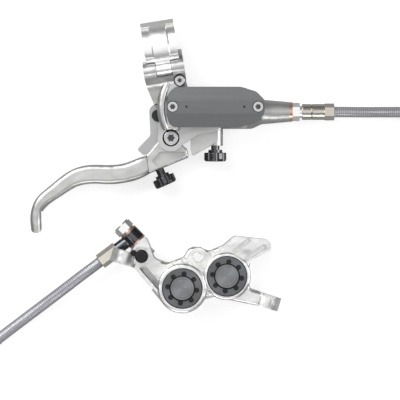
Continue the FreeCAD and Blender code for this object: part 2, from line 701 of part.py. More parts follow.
def make_clamp_strap():
    body = new_body("clamp_strap")
    outer = "bar_diameter/2 + strap_wall"
    pad(add_circle(new_sketch(body, "YZ_Plane"), 0, 0, outer), "strap_width", "Symmetric")
    cut(add_circle(new_sketch(body, "YZ_Plane"), 0, 0, "bar_diameter/2"), "2*strap_width", "Symmetric")
    near_half = [("split_gap/2", "-2*bar_diameter"), ("split_gap/2", 0), ("2*hinge_v", "2*hinge_w - 4"),
                 ("4*hinge_v", "2*hinge_w - 4"), ("4*hinge_v", "-2*bar_diameter")]
    cut(add_polygon(new_sketch(body, "YZ_Plane"), near_half), "2*strap_width", "Symmetric")
    lug = [("split_gap/2", "clamp_lug_bottom_w", 0.5), ("clamp_lug_v", "clamp_lug_bottom_w", 2),
           ("clamp_lug_v + 2.6", "0 - bar_diameter/2 + 2.4", 0.5), ("split_gap/2", "0 - bar_diameter/2 - 0.4", 0.5)]
    pad(add_polygon(new_sketch(body, "YZ_Plane"), lug), "strap_width", "Symmetric")
    cut(add_circle(new_sketch(body, "YZ_Plane"), 0, 0, "bar_diameter/2"), "2*strap_width", "Symmetric")
    side = "strap_knuckle/2"
    for lift, back in ((side, True), (f"-({side})", False)):
        beside = new_sketch(body, "YZ_Plane", lift=lift)
        cut(add_circle(beside, "hinge_v", "hinge_w", f"{hinge_radius} + free_gap"), "strap_width", back=back)
    knuckle = new_sketch(body, "YZ_Plane")
    pad(add_circle(knuckle, "hinge_v", "hinge_w", hinge_radius), "strap_knuckle", "Symmetric")
    pin = new_sketch(body, "YZ_Plane")
    cut(add_circle(pin, "hinge_v", "hinge_w", "hinge_pin_diameter/2 + running_gap"), "2*strap_width", "Symmetric")
    ribs = new_sketch(body, "XY_Plane", pitch="strap_pocket_middle")
    floor = "bar_diameter/2 + strap_pocket_wall"
    add_polygon(ribs, box_corners("strap_rib/2", floor, "strap_width", "bar_diameter", 0.6))
    add_polygon(ribs, box_corners("-strap_width", floor, "-strap_rib/2", "bar_diameter", 0.6))
    groove(ribs, "H_Axis", "strap_pocket_sweep", True)
    bolt = new_sketch(body, "XZ_Plane", y="clamp_bolt_w")
    cut(add_circle(bolt, 0, 0, "clamp_bolt_diameter/2 + screw_gap"), "2*bar_diameter", "Symmetric")
    face = new_sketch(body, "XZ_Plane", y="clamp_bolt_w", lift="-clamp_lug_v")
    cut(add_circle(face, 0, 0, "clamp_bolt_head/2 + free_gap"), "bar_diameter", back=False)
    return finish(body, clamp)


def make_clamp_fasteners():
    pin = turned("clamp_hinge_pin", [(0, "-perch_width/2"), ("hinge_pin_diameter/2", "-perch_width/2"),
                                     ("hinge_pin_diameter/2", "perch_width/2"), (0, "perch_width/2")])
    finish(pin, clamp, local(0, "hinge_v", "hinge_w", (0, 1, 0), 90))
    radius, shank = "clamp_bolt_head/2", "clamp_bolt_diameter/2"
    bolt = turned("clamp_bolt", [(0, "-clamp_lug_v - clamp_bolt_depth"), (shank, "-clamp_lug_v - clamp_bolt_depth"),
                                 (shank, 0), (radius, 0), (radius, "clamp_bolt_head_height", 0.5),
                                 (0, "clamp_bolt_head_height")])
    drive_socket(bolt, "clamp_bolt_head_height", "clamp_bolt_diameter*0.8", "clamp_bolt_head_height*0.6")
    finish(bolt, clamp, local(0, "clamp_lug_v", "clamp_bolt_w", (1, 0, 0), -90))
    radius, shank = "lock_screw_head/2", "lock_screw_diameter/2"
    screw = turned("hinge_lock_screw", [(0, "0.5 - lock_screw_length"), (shank, "0.5 - lock_screw_length"),
                                        (shank, 0), (radius, 0), (radius, "lock_screw_head_height", 0.4),
                                        (0, "lock_screw_head_height")])
    drive_socket(screw, "lock_screw_head_height", "lock_screw_head*0.46", "lock_screw_head_height*0.7")
    finish(screw, clamp, local("lock_screw_u", "lock_screw_v", "lock_screw_w"))


def make_reservoir_cover():
    lid_bottom = "lid_seat_z + diaphragm_thickness"
    body = new_body("reservoir_lid")
    section = new_sketch(body, "YZ_Plane", x="lid_y", y=lid_bottom, lift="lid_left_x")
    add_polygon(section, [("-lid_width/2", 0), ("lid_width/2", 0),
                          ("lid_width/2", "lid_thickness - lid_side_drop", 0.4),
                          ("lid_flat_width/2", "lid_thickness", 0.3), ("-lid_flat_width/2", "lid_thickness", 0.3),
                          ("-lid_width/2", "lid_thickness - lid_side_drop", 0.4)])
    pad(section, "lid_right_x - lid_left_x")
    trim = new_sketch(body, "XY_Plane", lift=lid_bottom)
    add_polygon(trim, box_corners("lid_left_x - 5", "lid_y - lid_width", "lid_right_x + 5", "lid_y + lid_width"))
    cut(add_polygon(trim, lid_outline("0")), "2*lid_thickness", back=True)
    holes = new_sketch(body, "XY_Plane", lift=lid_bottom)
    seats = new_sketch(body, "XY_Plane", lift=f"{lid_bottom} + lid_thickness - lid_recess")
    vents = new_sketch(body, "XY_Plane", lift=f"{lid_bottom} + lid_thickness")
    for place, inward in (("lid_screw_left_x", "+"), ("lid_screw_right_x", "-")):
        add_circle(holes, place, "lid_y", "lid_screw_diameter/2 + screw_gap")
        add_circle(seats, place, "lid_y", "lid_screw_head/2 + lid_screw_rim")
        add_circle(vents, f"{place} {inward} lid_vent_inset", "lid_y", "lid_vent_diameter/2")
    cut(holes, "lid_thickness", back=True)
    cut(seats, "lid_thickness", back=True)
    cut(vents, "lid_thickness*0.6")
    finish(body, lever)

    screw = new_body("lid_screws")
    top = f"{lid_bottom} + lid_thickness - lid_recess"
    shanks = new_sketch(screw, "XY_Plane", lift=top)
    heads = new_sketch(screw, "XY_Plane", lift=top)
    sockets = new_sketch(screw, "XY_Plane", lift=f"{top} + lid_screw_head_height")
    for place in ("lid_screw_left_x", "lid_screw_right_x"):
        add_circle(shanks, place, "lid_y", "lid_screw_diameter/2")
        add_circle(heads, place, "lid_y", "lid_screw_head/2")
        corners = [(f"{place} + {x}", f"lid_y + {y}") for x, y in star("lid_screw_head*0.62")]
        add_polygon(sockets, corners)
    screw.AllowCompound = True
    pad(shanks, "lid_screw_length", back=True)
    pad(heads, "lid_screw_head_height")
    cut(sockets, "lid_screw_head_height*0.7")
    finish(screw, lever)

    rubber = new_body("reservoir_diaphragm")
    sheet_sketch = new_sketch(rubber, "XY_Plane", lift="lid_seat_z")
    pad(add_polygon(sheet_sketch, lid_outline("0")), "diaphragm_thickness")
    dish = new_sketch(rubber, "XY_Plane", lift="lid_seat_z")
    inner = "(reservoir_width/2 - 2*free_gap)"
    left, right = "reservoir_left_x + 2*free_gap", "reservoir_right_x - 2*free_gap"
    pad(add_polygon(dish, box_corners(left, f"lid_y - {inner}", right, f"lid_y + {inner}", 2.4)),
        "diaphragm_drop", back=True)
    hollow = new_sketch(rubber, "XY_Plane", lift="lid_seat_z + diaphragm_thickness")
    wall = "diaphragm_thickness"
    cut(add_polygon(hollow, box_corners(f"{left} + {wall}", f"lid_y - {inner} + {wall}", f"{right} - {wall}",
                                        f"lid_y + {inner} - {wall}", 1.6)), "diaphragm_drop")
    holes = new_sketch(rubber, "XY_Plane", lift="lid_seat_z")
    for place in ("lid_screw_left_x", "lid_screw_right_x"):
        add_circle(holes, place, "lid_y", "lid_screw_diameter/2 + screw_gap")
    cut(holes, "2*diaphragm_thickness", "Symmetric")
    finish(rubber, lever)


def make_lever_blade():
    body = new_body("lever_blade")
    root = new_sketch(body, "XY_Plane", lift="blade_bottom_z")
    pad(add_polygon(root, named_corners("blade_root")), "blade_height")
    soften(body, end_edges(body, True), "blade_root_round")
    last = len(BLADE_STATIONS)
    sections = []
    for index in range(1, last + 1):
        ahead, behind = min(index + 1, last), max(index - 1, 1)
        run = size(f"blade_{ahead}_x - blade_{behind}_x")
        rise = size(f"blade_{ahead}_y - blade_{behind}_y")
        across = math.degrees(math.atan2(rise, run)) - 90
        section = new_sketch(body, "XZ_Plane", x=f"blade_{index}_x", y="cylinder_z", lift=f"-blade_{index}_y",
                             yaw=across)
        width, height = f"blade_{index}_width", f"blade_{index}_height"
        corners = box_corners(f"-{width}/2", f"-{height}/2", f"{width}/2", f"{height}/2", "blade_edge_round")
        sections.append(add_polygon(section, corners))
    add_feature(sections[0], "AdditiveLoft", Sections=sections[1:])
    half, reach = f"(blade_{last}_width/2 + 0.1)", "blade_height"
    end = new_sketch(body, "XY_Plane", f"blade_{last}_x", f"blade_{last}_y", "2*blade_height", across)
    cut(add_polygon(end, [(f"-{reach}", f"-{reach}"), (f"-{half}", f"-{reach}"), (f"-{half}", 0, f"{half}*0.96"),
                          (half, 0, f"{half}*0.96"), (half, f"-{reach}"), (reach, f"-{reach}"), (reach, reach),
                          (f"-{reach}", reach)]), "3*blade_height")
    slot = new_sketch(body, "XY_Plane", lift=slot_top_z)
    cut(add_polygon(slot, named_corners("blade_slot")), slot_gap)
    pocket = new_sketch(body, "XY_Plane", lift="blade_bottom_z + blade_height")
    cut(add_polygon(pocket, named_corners("blade_pocket")), "blade_pocket_depth")
    bush = new_sketch(body, "XY_Plane", lift="blade_bottom_z + blade_height")
    cut(add_circle(bush, 0, 0, "pivot_bush_diameter/2 + running_gap"), "blade_height")
    screw = new_sketch(body, "XZ_Plane", x="reach_x", y="cylinder_z", lift="-reach_y", yaw="reach_turn + 90")
    cut(add_circle(screw, 0, 0, "knob_stem_diameter/2 + running_gap"), "4*reach_screw_depth", "Symmetric")
    finish(body, lever)


def make_actuator():
    body = new_body("actuator_arm")
    plate = new_sketch(body, "XY_Plane", lift="cylinder_z")
    pad(add_polygon(plate, named_corners("actuator")), "actuator_thickness", "Symmetric")
    hole = new_sketch(body, "XY_Plane", lift="cylinder_z")
    add_circle(hole, 0, 0, "pivot_diameter/2 + running_gap")
    add_circle(hole, "barrel_pin_x", "barrel_pin_y", "barrel_pin_diameter/2 + running_gap")
    cut(hole, "2*actuator_thickness", "Symmetric")
    window = new_sketch(body, "XY_Plane", lift="cylinder_z")
    corners = box_corners("barrel_pin_x", "barrel_pin_y - rod_window/2 + 1", "barrel_pin_x + 12",
                          "barrel_pin_y + rod_window/2 + 1", 0.4)
    cut(add_polygon(window, corners), "2*actuator_thickness", "Symmetric")
    finish(body, lever)


def make_pivot():
    shank, head = "pivot_diameter/2", "pivot_head_diameter/2"
    depth = f"{upper_ear_z} + upper_ear_thickness - pivot_head_height - ({lower_ear_z})"
    pin = turned("pivot_pin", [(0, f"-({depth})"), (shank, f"-({depth})"), (shank, 0), (head, 0),
                               (head, "pivot_head_height - 0.2", 0.4), (0, "pivot_head_height - 0.2")])
    drive_socket(pin, "pivot_head_height - 0.2", "pivot_head_diameter*0.56", "pivot_head_height*0.7")
    finish(pin, lever, local(0, 0, f"{upper_ear_z} + upper_ear_thickness - pivot_head_height"))
    bushes = new_body("pivot_bushes")
    bushes.AllowCompound = True
    cheek = f"(blade_height - ({slot_gap}))/2"
    for lift in ("blade_bottom_z", f"blade_bottom_z + blade_height - {cheek}"):
        ring = new_sketch(bushes, "XY_Plane", lift=lift)
        add_circle(ring, 0, 0, "pivot_bush_diameter/2")
        pad(add_circle(ring, 0, 0, "pivot_diameter/2 + running_gap"), cheek)
    finish(bushes, lever)


def push_rod_turn():
    """Angle of the rod between the barrel pin and the piston cup."""
    return math.degrees(math.asin(size("(cylinder_y - barrel_pin_y)/push_rod_length")))


def make_piston_train():
    barrel = new_body("push_rod_barrel")
    pad(add_circle(new_sketch(barrel, "XY_Plane"), 0, 0, "barrel_pin_diameter/2"), "barrel_pin_height", "Symmetric")
    cross = new_sketch(barrel, "YZ_Plane")
    cut(add_circle(cross, 0, 0, "push_rod_diameter/2 + running_gap"), "2*barrel_pin_diameter", "Symmetric")
    finish(barrel, lever, local("barrel_pin_x", "barrel_pin_y", "cylinder_z", (0, 0, 1), push_rod_turn()))

    rod, ball = "push_rod_diameter/2", "push_rod_ball/2"
    rod_body = turned("push_rod", [(0, "-barrel_pin_diameter*0.4"), (rod, "-barrel_pin_diameter*0.4", 0.4),
                                   (rod, f"push_rod_length - {ball} - 0.4"), (ball, f"push_rod_length - {ball} + 0.6"),
                                   (ball, f"push_rod_length + {ball}", f"{ball}*0.8"), (0, f"push_rod_length + {ball}")])
    along_rod = Placement(Vector(0, 0, 0), Rotation(Vector(0, 1, 0), 90))
    finish(rod_body, lever, local("barrel_pin_x", "barrel_pin_y", "cylinder_z", (0, 0, 1), push_rod_turn()), along_rod)

    land = "bore_diameter/2 - running_gap"
    groove_radius = "seal_groove_diameter/2"
    cup_x = "barrel_pin_x + push_rod_length*cos(asin((cylinder_y - barrel_pin_y)/push_rod_length))"
    cup_depth = f"{cup_x} + push_rod_ball/2 + free_gap - piston_left_x"
    nose = "piston_length + piston_nose_length"
    profile = [("piston_cup_diameter/2", 0), (land, 0)]
    for start in ("rear_seal_x", "front_seal_x"):
        profile += [(land, start), (groove_radius, start), (groove_radius, f"{start} + seal_width"),
                    (land, f"{start} + seal_width")]
    profile += [(land, "piston_length"), ("piston_nose_diameter/2", "piston_length"), ("piston_nose_diameter/2", nose),
                (0, nose), (0, cup_depth), ("piston_cup_diameter/2", cup_depth)]
    along_bore = local("piston_left_x", "cylinder_y", "cylinder_z", (0, 1, 0), 90)
    finish(turned("master_piston", profile), lever, along_bore)
    for label, start in (("rear_seal", "rear_seal_x"), ("front_seal", "front_seal_x")):
        inner, outer = f"{groove_radius} + running_gap", "bore_diameter/2 - running_gap/2"
        lip = f"{start} + seal_width - running_gap"
        seal = turned(label, [(inner, f"{start} + running_gap"), (f"{outer} - 0.3", f"{start} + running_gap"),
                              (outer, lip), (f"{outer} - 0.7", lip), (f"{inner} + 0.3", f"{start} + seal_width/2"),
                              (inner, f"{start} + seal_width/2")])
        finish(seal, lever, along_bore)

    spring = new_body("return_spring")
    coil = new_sketch(spring, "XZ_Plane")
    add_circle(coil, "spring_diameter/2 - spring_wire/2", "spring_wire/2 + running_gap", "spring_wire/2")
    helix = add_feature(coil, "AdditiveHelix", ReferenceAxis=(coil, ["V_Axis"]), Mode="height-turns-angle")
    room = "bore_end_x - piston_left_x - piston_length - spring_wire - 2*running_gap"
    helix.setExpression("Height", linked(room))
    helix.setExpression("Turns", linked("spring_turns"))
    finish(spring, lever, local("piston_left_x + piston_length", "cylinder_y", "cylinder_z", (0, 1, 0), 90))

    clip = new_body("piston_circlip")
    ring = new_sketch(clip, "XY_Plane", lift="running_gap")
    add_circle(ring, 0, 0, "circlip_diameter/2 - running_gap")
    pad(add_circle(ring, 0, 0, "circlip_bore/2"), "circlip_thickness - 2*running_gap")
    opening = new_sketch(clip, "XY_Plane", lift="circlip_thickness")
    cut(add_polygon(opening, box_corners(0, "-circlip_bore*0.2", "circlip_diameter", "circlip_bore*0.2")),
        "2*circlip_thickness")
    finish(clip, lever, local("piston_left_x - free_gap - circlip_thickness", "cylinder_y", "cylinder_z", (0, 1, 0), 90))


def make_knob(label, screw_depth, place):
    """Lobed knob with its screw; the body's Z axis points out of the boss it is screwed into."""
    stem, neck, rim = "knob_stem_diameter/2", "knob_neck_diameter/2", "knob_diameter/2"
    under = "knob_stem_gap + knob_neck_height"
    top = f"{under} + knob_height"
    body = turned(label, [(0, f"-({screw_depth})"), (stem, f"-({screw_depth})"), (stem, "knob_stem_gap"),
                          (neck, "knob_stem_gap"), (neck, under), (rim, under, 0.5), (rim, top, 1.2),
                          (f"{rim}*0.5", top), (f"{rim}*0.4", f"{top} - 0.5"), (0, f"{top} - 0.5")])
    scallop = new_sketch(body, "XY_Plane", lift=top)
    scallop_x = "knob_diameter/2 + knob_scallop*0.2"
    notch = cut(add_circle(scallop, scallop_x, 0, "knob_scallop/2"), "knob_height")
    repeat(body, notch, "knob_scallops")
    return finish(body, lever, place)


def make_hose_union():
    start = "snout_end_x"
    copper, thread = "copper_diameter/2", "union_thread_diameter/2"
    washer = turned("union_washer", [(f"{thread} + screw_gap", 0), (copper, 0), (copper, "copper_thickness"),
                                     (f"{thread} + screw_gap", "copper_thickness")])
    along = dict(axis=(0, 1, 0), angle=90)
    finish(washer, lever, local(start, "cylinder_y", "cylinder_z", **along))
    neck, spigot = "union_neck_diameter/2", "hose_diameter/2 - 1"
    hex_end = "union_hex_length"
    neck_end = f"{hex_end} + union_neck_length"
    body = turned("hose_union", [(0, "-copper_thickness - union_thread_length"),
                                 (f"{thread} - screw_gap", "-copper_thickness - union_thread_length"),
                                 (f"{thread} - screw_gap", 0), (neck, 0), (neck, neck_end), (spigot, neck_end),
                                 (spigot, f"{neck_end} + union_spigot_length"),
                                 (0, f"{neck_end} + union_spigot_length")])
    collar = add_polygon(new_sketch(body, "XY_Plane"), hexagon("union_hex"))
    pad(collar, "union_hex_length")
    bore = new_sketch(body, "XY_Plane", lift=f"{neck_end} + union_spigot_length")
    cut(add_circle(bore, 0, 0, "union_thread_diameter/6"), "2*snout_end_x")
    finish(body, lever, local(f"{start} + copper_thickness", "cylinder_y", "cylinder_z", **along))
    outer, inner = "nut_diameter/2", "hose_diameter/2 + screw_gap"
    body = turned("hose_nut", [(inner, 0), (outer, 0, 0.3), (outer, "nut_groove_x - 0.3"),
                               (f"{outer} - 0.4", "nut_groove_x"), (outer, "nut_groove_x + 0.3"),
                               (outer, "nut_length", 0.3), (inner, "nut_length")])
    hex_part = new_sketch(body, "XY_Plane", lift="nut_length")
    pad(add_polygon(hex_part, hexagon("nut_hex")), "nut_hex_length")
    bore = new_sketch(body, "XY_Plane", lift="nut_length + nut_hex_length")
    cut(add_circle(bore, 0, 0, inner), "nut_hex_length")
    nut_x = f"{start} + copper_thickness + {neck_end}"
    finish(body, lever, local(nut_x, "cylinder_y", "cylinder_z", **along))
    return size(f"{nut_x} + nut_length + nut_hex_length")


bore_line = math.degrees(math.atan2(size("right_bore_v - left_bore_v"), size("right_bore_u - left_bore_u")))
pads = caliper.multiply(local("(left_bore_u + right_bore_u)/2", "(left_bore_v + right_bore_v)/2", 0,
                              (0, 0, 1), bore_line))
bore_half = math.hypot(size("right_bore_v - left_bore_v"), size("right_bore_u - left_bore_u")) / 2
room_low = "rotor_z - pad_room_thickness/2"
room_high = "rotor_z + pad_room_thickness/2"


def pad_frame_sketch(body, lift):
    """Sketch on the line of the bores, with its origin midway between them."""
    return new_sketch(body, "XY_Plane", "(left_bore_u + right_bore_u)/2", "(left_bore_v + right_bore_v)/2", lift,
                      bore_line)


def wall_corner(bore, wall, angle):
    """Corner of two lines that touch the round wall of a bore, seen in a direction."""
    reach = f"{wall}/cos(27.5)"
    return (f"{bore}_u + {reach}*cos({angle})", f"{bore}_v + {reach}*sin({angle})", wall)


def make_caliper_body():
    body = new_body("caliper_body")
    seat = "(banjo_eye_diameter/2 + 0.6)"
    arm_end = [(f"banjo_u - {side}*{seat}*sin(banjo_turn)", f"banjo_v + {side}*{seat}*cos(banjo_turn)", 1.5)
               for side in ("1", "(-1)")]
    edge = named_corners("caliper_left")
    edge += [wall_corner("left_bore", "left_wall_radius", 263), wall_corner("left_bore", "left_wall_radius", 321)]
    edge += named_corners("caliper_right") + arm_end
    pad(add_polygon(new_sketch(body, "XY_Plane"), edge), "body_height")
    soften(body, end_edges(body, True), "body_edge_round")
    for bore, wall in (("left_bore", "left_wall_radius"), ("right_bore", "right_wall_radius")):
        boss = new_sketch(body, "XZ_Plane", x=f"{bore}_u", lift=f"-{bore}_v")
        revolve(add_polygon(boss, [(0, room_high), (wall, room_high), (wall, "boss_top_z", "boss_edge_round"),
                                   (0, "boss_top_z")]))
    pin_boss = pad_frame_sketch(body, 0)
    pad(add_circle(pin_boss, 0, "pad_pin_n", "pin_boss_radius"), "body_height")
    arm = new_sketch(body, "XY_Plane", lift="arm_top_z")
    cut(add_polygon(arm, named_corners("arm_top")), "boss_top_z", back=True)
    fin = new_sketch(body, "XY_Plane", lift="fin_top_z")
    cut(add_polygon(fin, named_corners("fin_top")), "boss_top_z", back=True)
    pocket = new_sketch(body, "XY_Plane", lift="web_height")
    cut(add_polygon(pocket, named_corners("web_pocket")), "boss_top_z", back=True)
    scallops = new_sketch(body, "XY_Plane", lift="body_height")
    for index in range(1, len(EDGE_SCALLOPS) + 1):
        add_circle(scallops, f"scallop_{index}_u", f"scallop_{index}_v", "scallop_diameter/2")
    cut(scallops, "scallop_depth")
    for index in range(1, len(FIN_GROOVES) + 1):
        name = f"fin_groove_{index}"
        slot = new_sketch(body, "XY_Plane", lift="fin_top_z")
        corners = turned_box(f"{name}_u", f"{name}_v", f"{name}_length", "fin_groove_width", f"{name}_turn", 1.1)
        cut(add_polygon(slot, corners), "fin_groove_depth")
    for side in ("-1", "1"):
        tab = new_sketch(body, "XZ_Plane", x=f"{side}*mount_spacing/2", y="tab_z")
        corners = box_corners("-tab_width/2", "-tab_height/2", "tab_width/2", "tab_height/2", "tab_width*0.48")
        pad(add_polygon(tab, corners), "tab_thickness", back=True)
    bleed = new_sketch(body, "XY_Plane", lift="arm_top_z - 8")
    pad(add_circle(bleed, "bleed_u", "bleed_v", "bleed_boss_diameter/2"), "bleed_boss_z - arm_top_z + 8")
    for side in ("-1", "1"):
        slot = new_sketch(body, "XZ_Plane", x=f"{side}*mount_spacing/2", y="tab_z")
        corners = box_corners("-mount_slot_width/2", "-mount_slot_length/2", "mount_slot_width/2",
                              "mount_slot_length/2", "mount_slot_width*0.48")
        cut(add_polygon(slot, corners), "4*tab_thickness", "Symmetric")

    room = pad_frame_sketch(body, room_high)
    half = "(pad_length/2 + pad_end_gap)"
    window = "pad_window/2"
    add_polygon(room, [(f"-{half}", "-rotor_radius"), (half, "-rotor_radius"), (half, "pad_room_top", 1.5),
                       (window, "pad_room_top", 1), (window, "rotor_radius"), (f"-{window}", "rotor_radius"),
                       (f"-{window}", "pad_room_top", 1), (f"-{half}", "pad_room_top", 1.5)])
    cut(room, "pad_room_thickness")
    rotor = pad_frame_sketch(body, "rotor_z")
    cut(add_circle(rotor, 0, "rotor_edge - rotor_radius", "rotor_radius"), "rotor_slot", "Symmetric")
    bore = "piston_diameter/2 + running_gap"
    seal = "piston_diameter/2 + seal_ring_width + running_gap"
    lower, upper = f"{room_low} - seal_depth - seal_height", f"{room_high} + seal_depth"
    profile = [(0, "bore_floor"), (bore, "bore_floor"), (bore, lower), (seal, lower), (seal, f"{lower} + seal_height"),
               (bore, f"{lower} + seal_height"), (bore, upper), (seal, upper), (seal, f"{upper} + seal_height"),
               (bore, f"{upper} + seal_height"), (bore, "cap_seat_z"), ("cap_diameter/2", "cap_seat_z"),
               ("cap_diameter/2", "boss_top_z + 1"), (0, "boss_top_z + 1")]
    for name in ("left_bore", "right_bore"):
        hole = new_sketch(body, "XZ_Plane", x=f"{name}_u", lift=f"-{name}_v")
        groove(add_polygon(hole, profile))
    pin = pad_frame_sketch(body, "boss_top_z")
    cut(add_circle(pin, 0, "pad_pin_n", "pad_pin_diameter/2 + screw_gap"), "boss_top_z + 1")
    banjo = new_sketch(body, "YZ_Plane", x="banjo_v", y="banjo_z", lift="banjo_u", yaw="banjo_turn")
    cut(add_circle(banjo, 0, 0, "banjo_bolt_diameter/2 + screw_gap"), "banjo_bolt_depth + 1", back=True)
    nipple = new_sketch(body, "XY_Plane", lift="bleed_boss_z")
    cut(add_circle(nipple, "bleed_u", "bleed_v", "bleed_thread_diameter/2 + screw_gap"), "bleed_thread_length + 1")
    return finish(body, caliper)


def make_bore_caps():
    radius = "cap_diameter/2 - running_gap"
    top = "boss_top_z + cap_proud - cap_seat_z"
    seal_z = "cap_seal_width*1.6"
    groove_radius = f"{radius} - cap_seal_width"
    for side in ("left", "right"):
        floor = f"{top} - cap_recess_depth"
        recess = "cap_recess_diameter/2"
        body = turned(f"{side}_bore_cap", [(0, 0), (radius, 0), (radius, seal_z), (groove_radius, seal_z),
                                           (groove_radius, f"{seal_z} + cap_seal_width"),
                                           (radius, f"{seal_z} + cap_seal_width"), (radius, top, 0.5), (recess, top),
                                           (recess, floor), (0, floor)])
        notch = new_sketch(body, "XY_Plane", lift=top)
        first = cut(add_circle(notch, "cap_notch_radius", 0, "cap_notch_diameter/2"), "cap_recess_depth*0.8")
        repeat(body, first, "cap_notches")
        place = local(f"{side}_bore_u", f"{side}_bore_v", "cap_seat_z", (0, 0, 1), 10)
        finish(body, caliper, place)
        ring = turned(f"{side}_cap_seal", [(f"{groove_radius} + running_gap", f"{seal_z} + running_gap"),
                                           (f"{radius}", f"{seal_z} + running_gap"),
                                           (f"{radius}", f"{seal_z} + cap_seal_width - running_gap"),
                                           (f"{groove_radius} + running_gap",
                                            f"{seal_z} + cap_seal_width - running_gap")])
        finish(ring, caliper, place)


def make_pistons_and_pads():
    face = "rotor_gap/2 + pad_friction + pad_backing"
    radius, hollow = "piston_diameter/2", "piston_hollow/2"
    for side, up, flip in (("outboard", 1, 0), ("inboard", -1, 180)):
        facing = local(0, 0, "rotor_z", (1, 0, 0), flip)
        for name in ("left", "right"):
            body = turned(f"{side}_{name}_piston", [(hollow, face), (radius, face, 0.4),
                                                    (radius, f"{face} + piston_height", 0.6),
                                                    (0, f"{face} + piston_height"),
                                                    (0, f"{face} + piston_height*0.5"),
                                                    (hollow, f"{face} + piston_height*0.5")])
            finish(body, caliper, local(f"{name}_bore_u", f"{name}_bore_v"), facing)
        seals = new_body(f"{side}_piston_seals")
        seals.AllowCompound = True
        lift = "pad_room_thickness/2 + seal_depth + running_gap"
        for place in (f"-{bore_half}", f"{bore_half}"):
            ring = new_sketch(seals, "XY_Plane", lift=lift)
            add_circle(ring, place, 0, "piston_diameter/2 + seal_ring_width")
            pad(add_circle(ring, place, 0, "piston_diameter/2 + running_gap"), "seal_height - 2*running_gap")
        finish(seals, pads, facing)
        for label, low, thick, edge in (("backing", "rotor_gap/2 + pad_friction", "pad_backing", "0"),
                                        ("friction", "rotor_gap/2", "pad_friction", "pad_margin")):
            plate = new_body(f"{side}_pad_{label}")
            sketch = new_sketch(plate, "XY_Plane", lift=low)
            half = f"(pad_length/2 - {edge})"
            bottom, top = f"up*(pad_bottom + {edge})", f"up*(pad_top - {edge})"
            corners = [(f"-{half}", bottom, 3), (half, bottom, 3), (half, top, 3)]
            if label == "backing":
                ear, tip = "pad_ear_width/2", "up*(pad_pin_n + pad_ear_width/2)"
                corners += [(ear, top, 1), (ear, tip, "pad_ear_width*0.4"), (f"-{ear}", tip, "pad_ear_width*0.4"),
                            (f"-{ear}", top, 1)]
            corners += [(f"-{half}", top, 3)]
            pad(add_polygon(sketch, [(x, y.replace("up", str(up)), r) for x, y, r in corners]), thick)
            if label == "backing":
                hole = new_sketch(plate, "XY_Plane", lift=low)
                cut(add_circle(hole, 0, f"{up}*pad_pin_n", "pad_pin_diameter/2 + free_gap"), "4*pad_backing", "Symmetric")
            else:
                slot = new_sketch(plate, "XY_Plane", lift=low)
                cut(add_polygon(slot, box_corners(-0.7, "-pad_length", 0.7, "pad_length")), "pad_friction*0.7", back=True)
            finish(plate, pads, facing)


def make_pad_hardware():
    shank, head = "pad_pin_diameter/2", "pad_pin_head/2"
    low = "-body_height + 0.4"
    pin = turned("pad_pin", [(0, low), (shank, low), (shank, 0), (head, 0), (head, "pad_pin_head_height", 0.3),
                             (0, "pad_pin_head_height")])
    recess = new_sketch(pin, "XY_Plane", lift=low)
    cut(add_polygon(recess, hexagon("pad_pin_diameter*0.6")), "pad_pin_diameter", back=True)
    finish(pin, pads, local(0, "pad_pin_n", "body_height"))
    spring = new_body("pad_spring")
    end, ear = "(pad_window/2 - 1)", "(pad_ear_width/2 + 1 + free_gap)"
    wing, strip = "pad_room_thickness*0.4", "(rotor_gap/2 + pad_friction/2)"
    leaf = new_sketch(spring, "XZ_Plane", y="rotor_z", lift="-pad_top - free_gap")
    half = [(f"-{end}", f"-{wing}"), (f"-{ear}", f"-{wing}"), (f"-{ear}", f"-{strip}"), (ear, f"-{strip}"),
            (ear, f"-{wing}"), (end, f"-{wing}")]
    far_half = [(end, wing), (ear, wing), (ear, strip), (f"-{ear}", strip), (f"-{ear}", wing), (f"-{end}", wing)]
    pad(add_polygon(leaf, half + far_half), "leaf_thickness", back=True)
    finish(spring, pads)


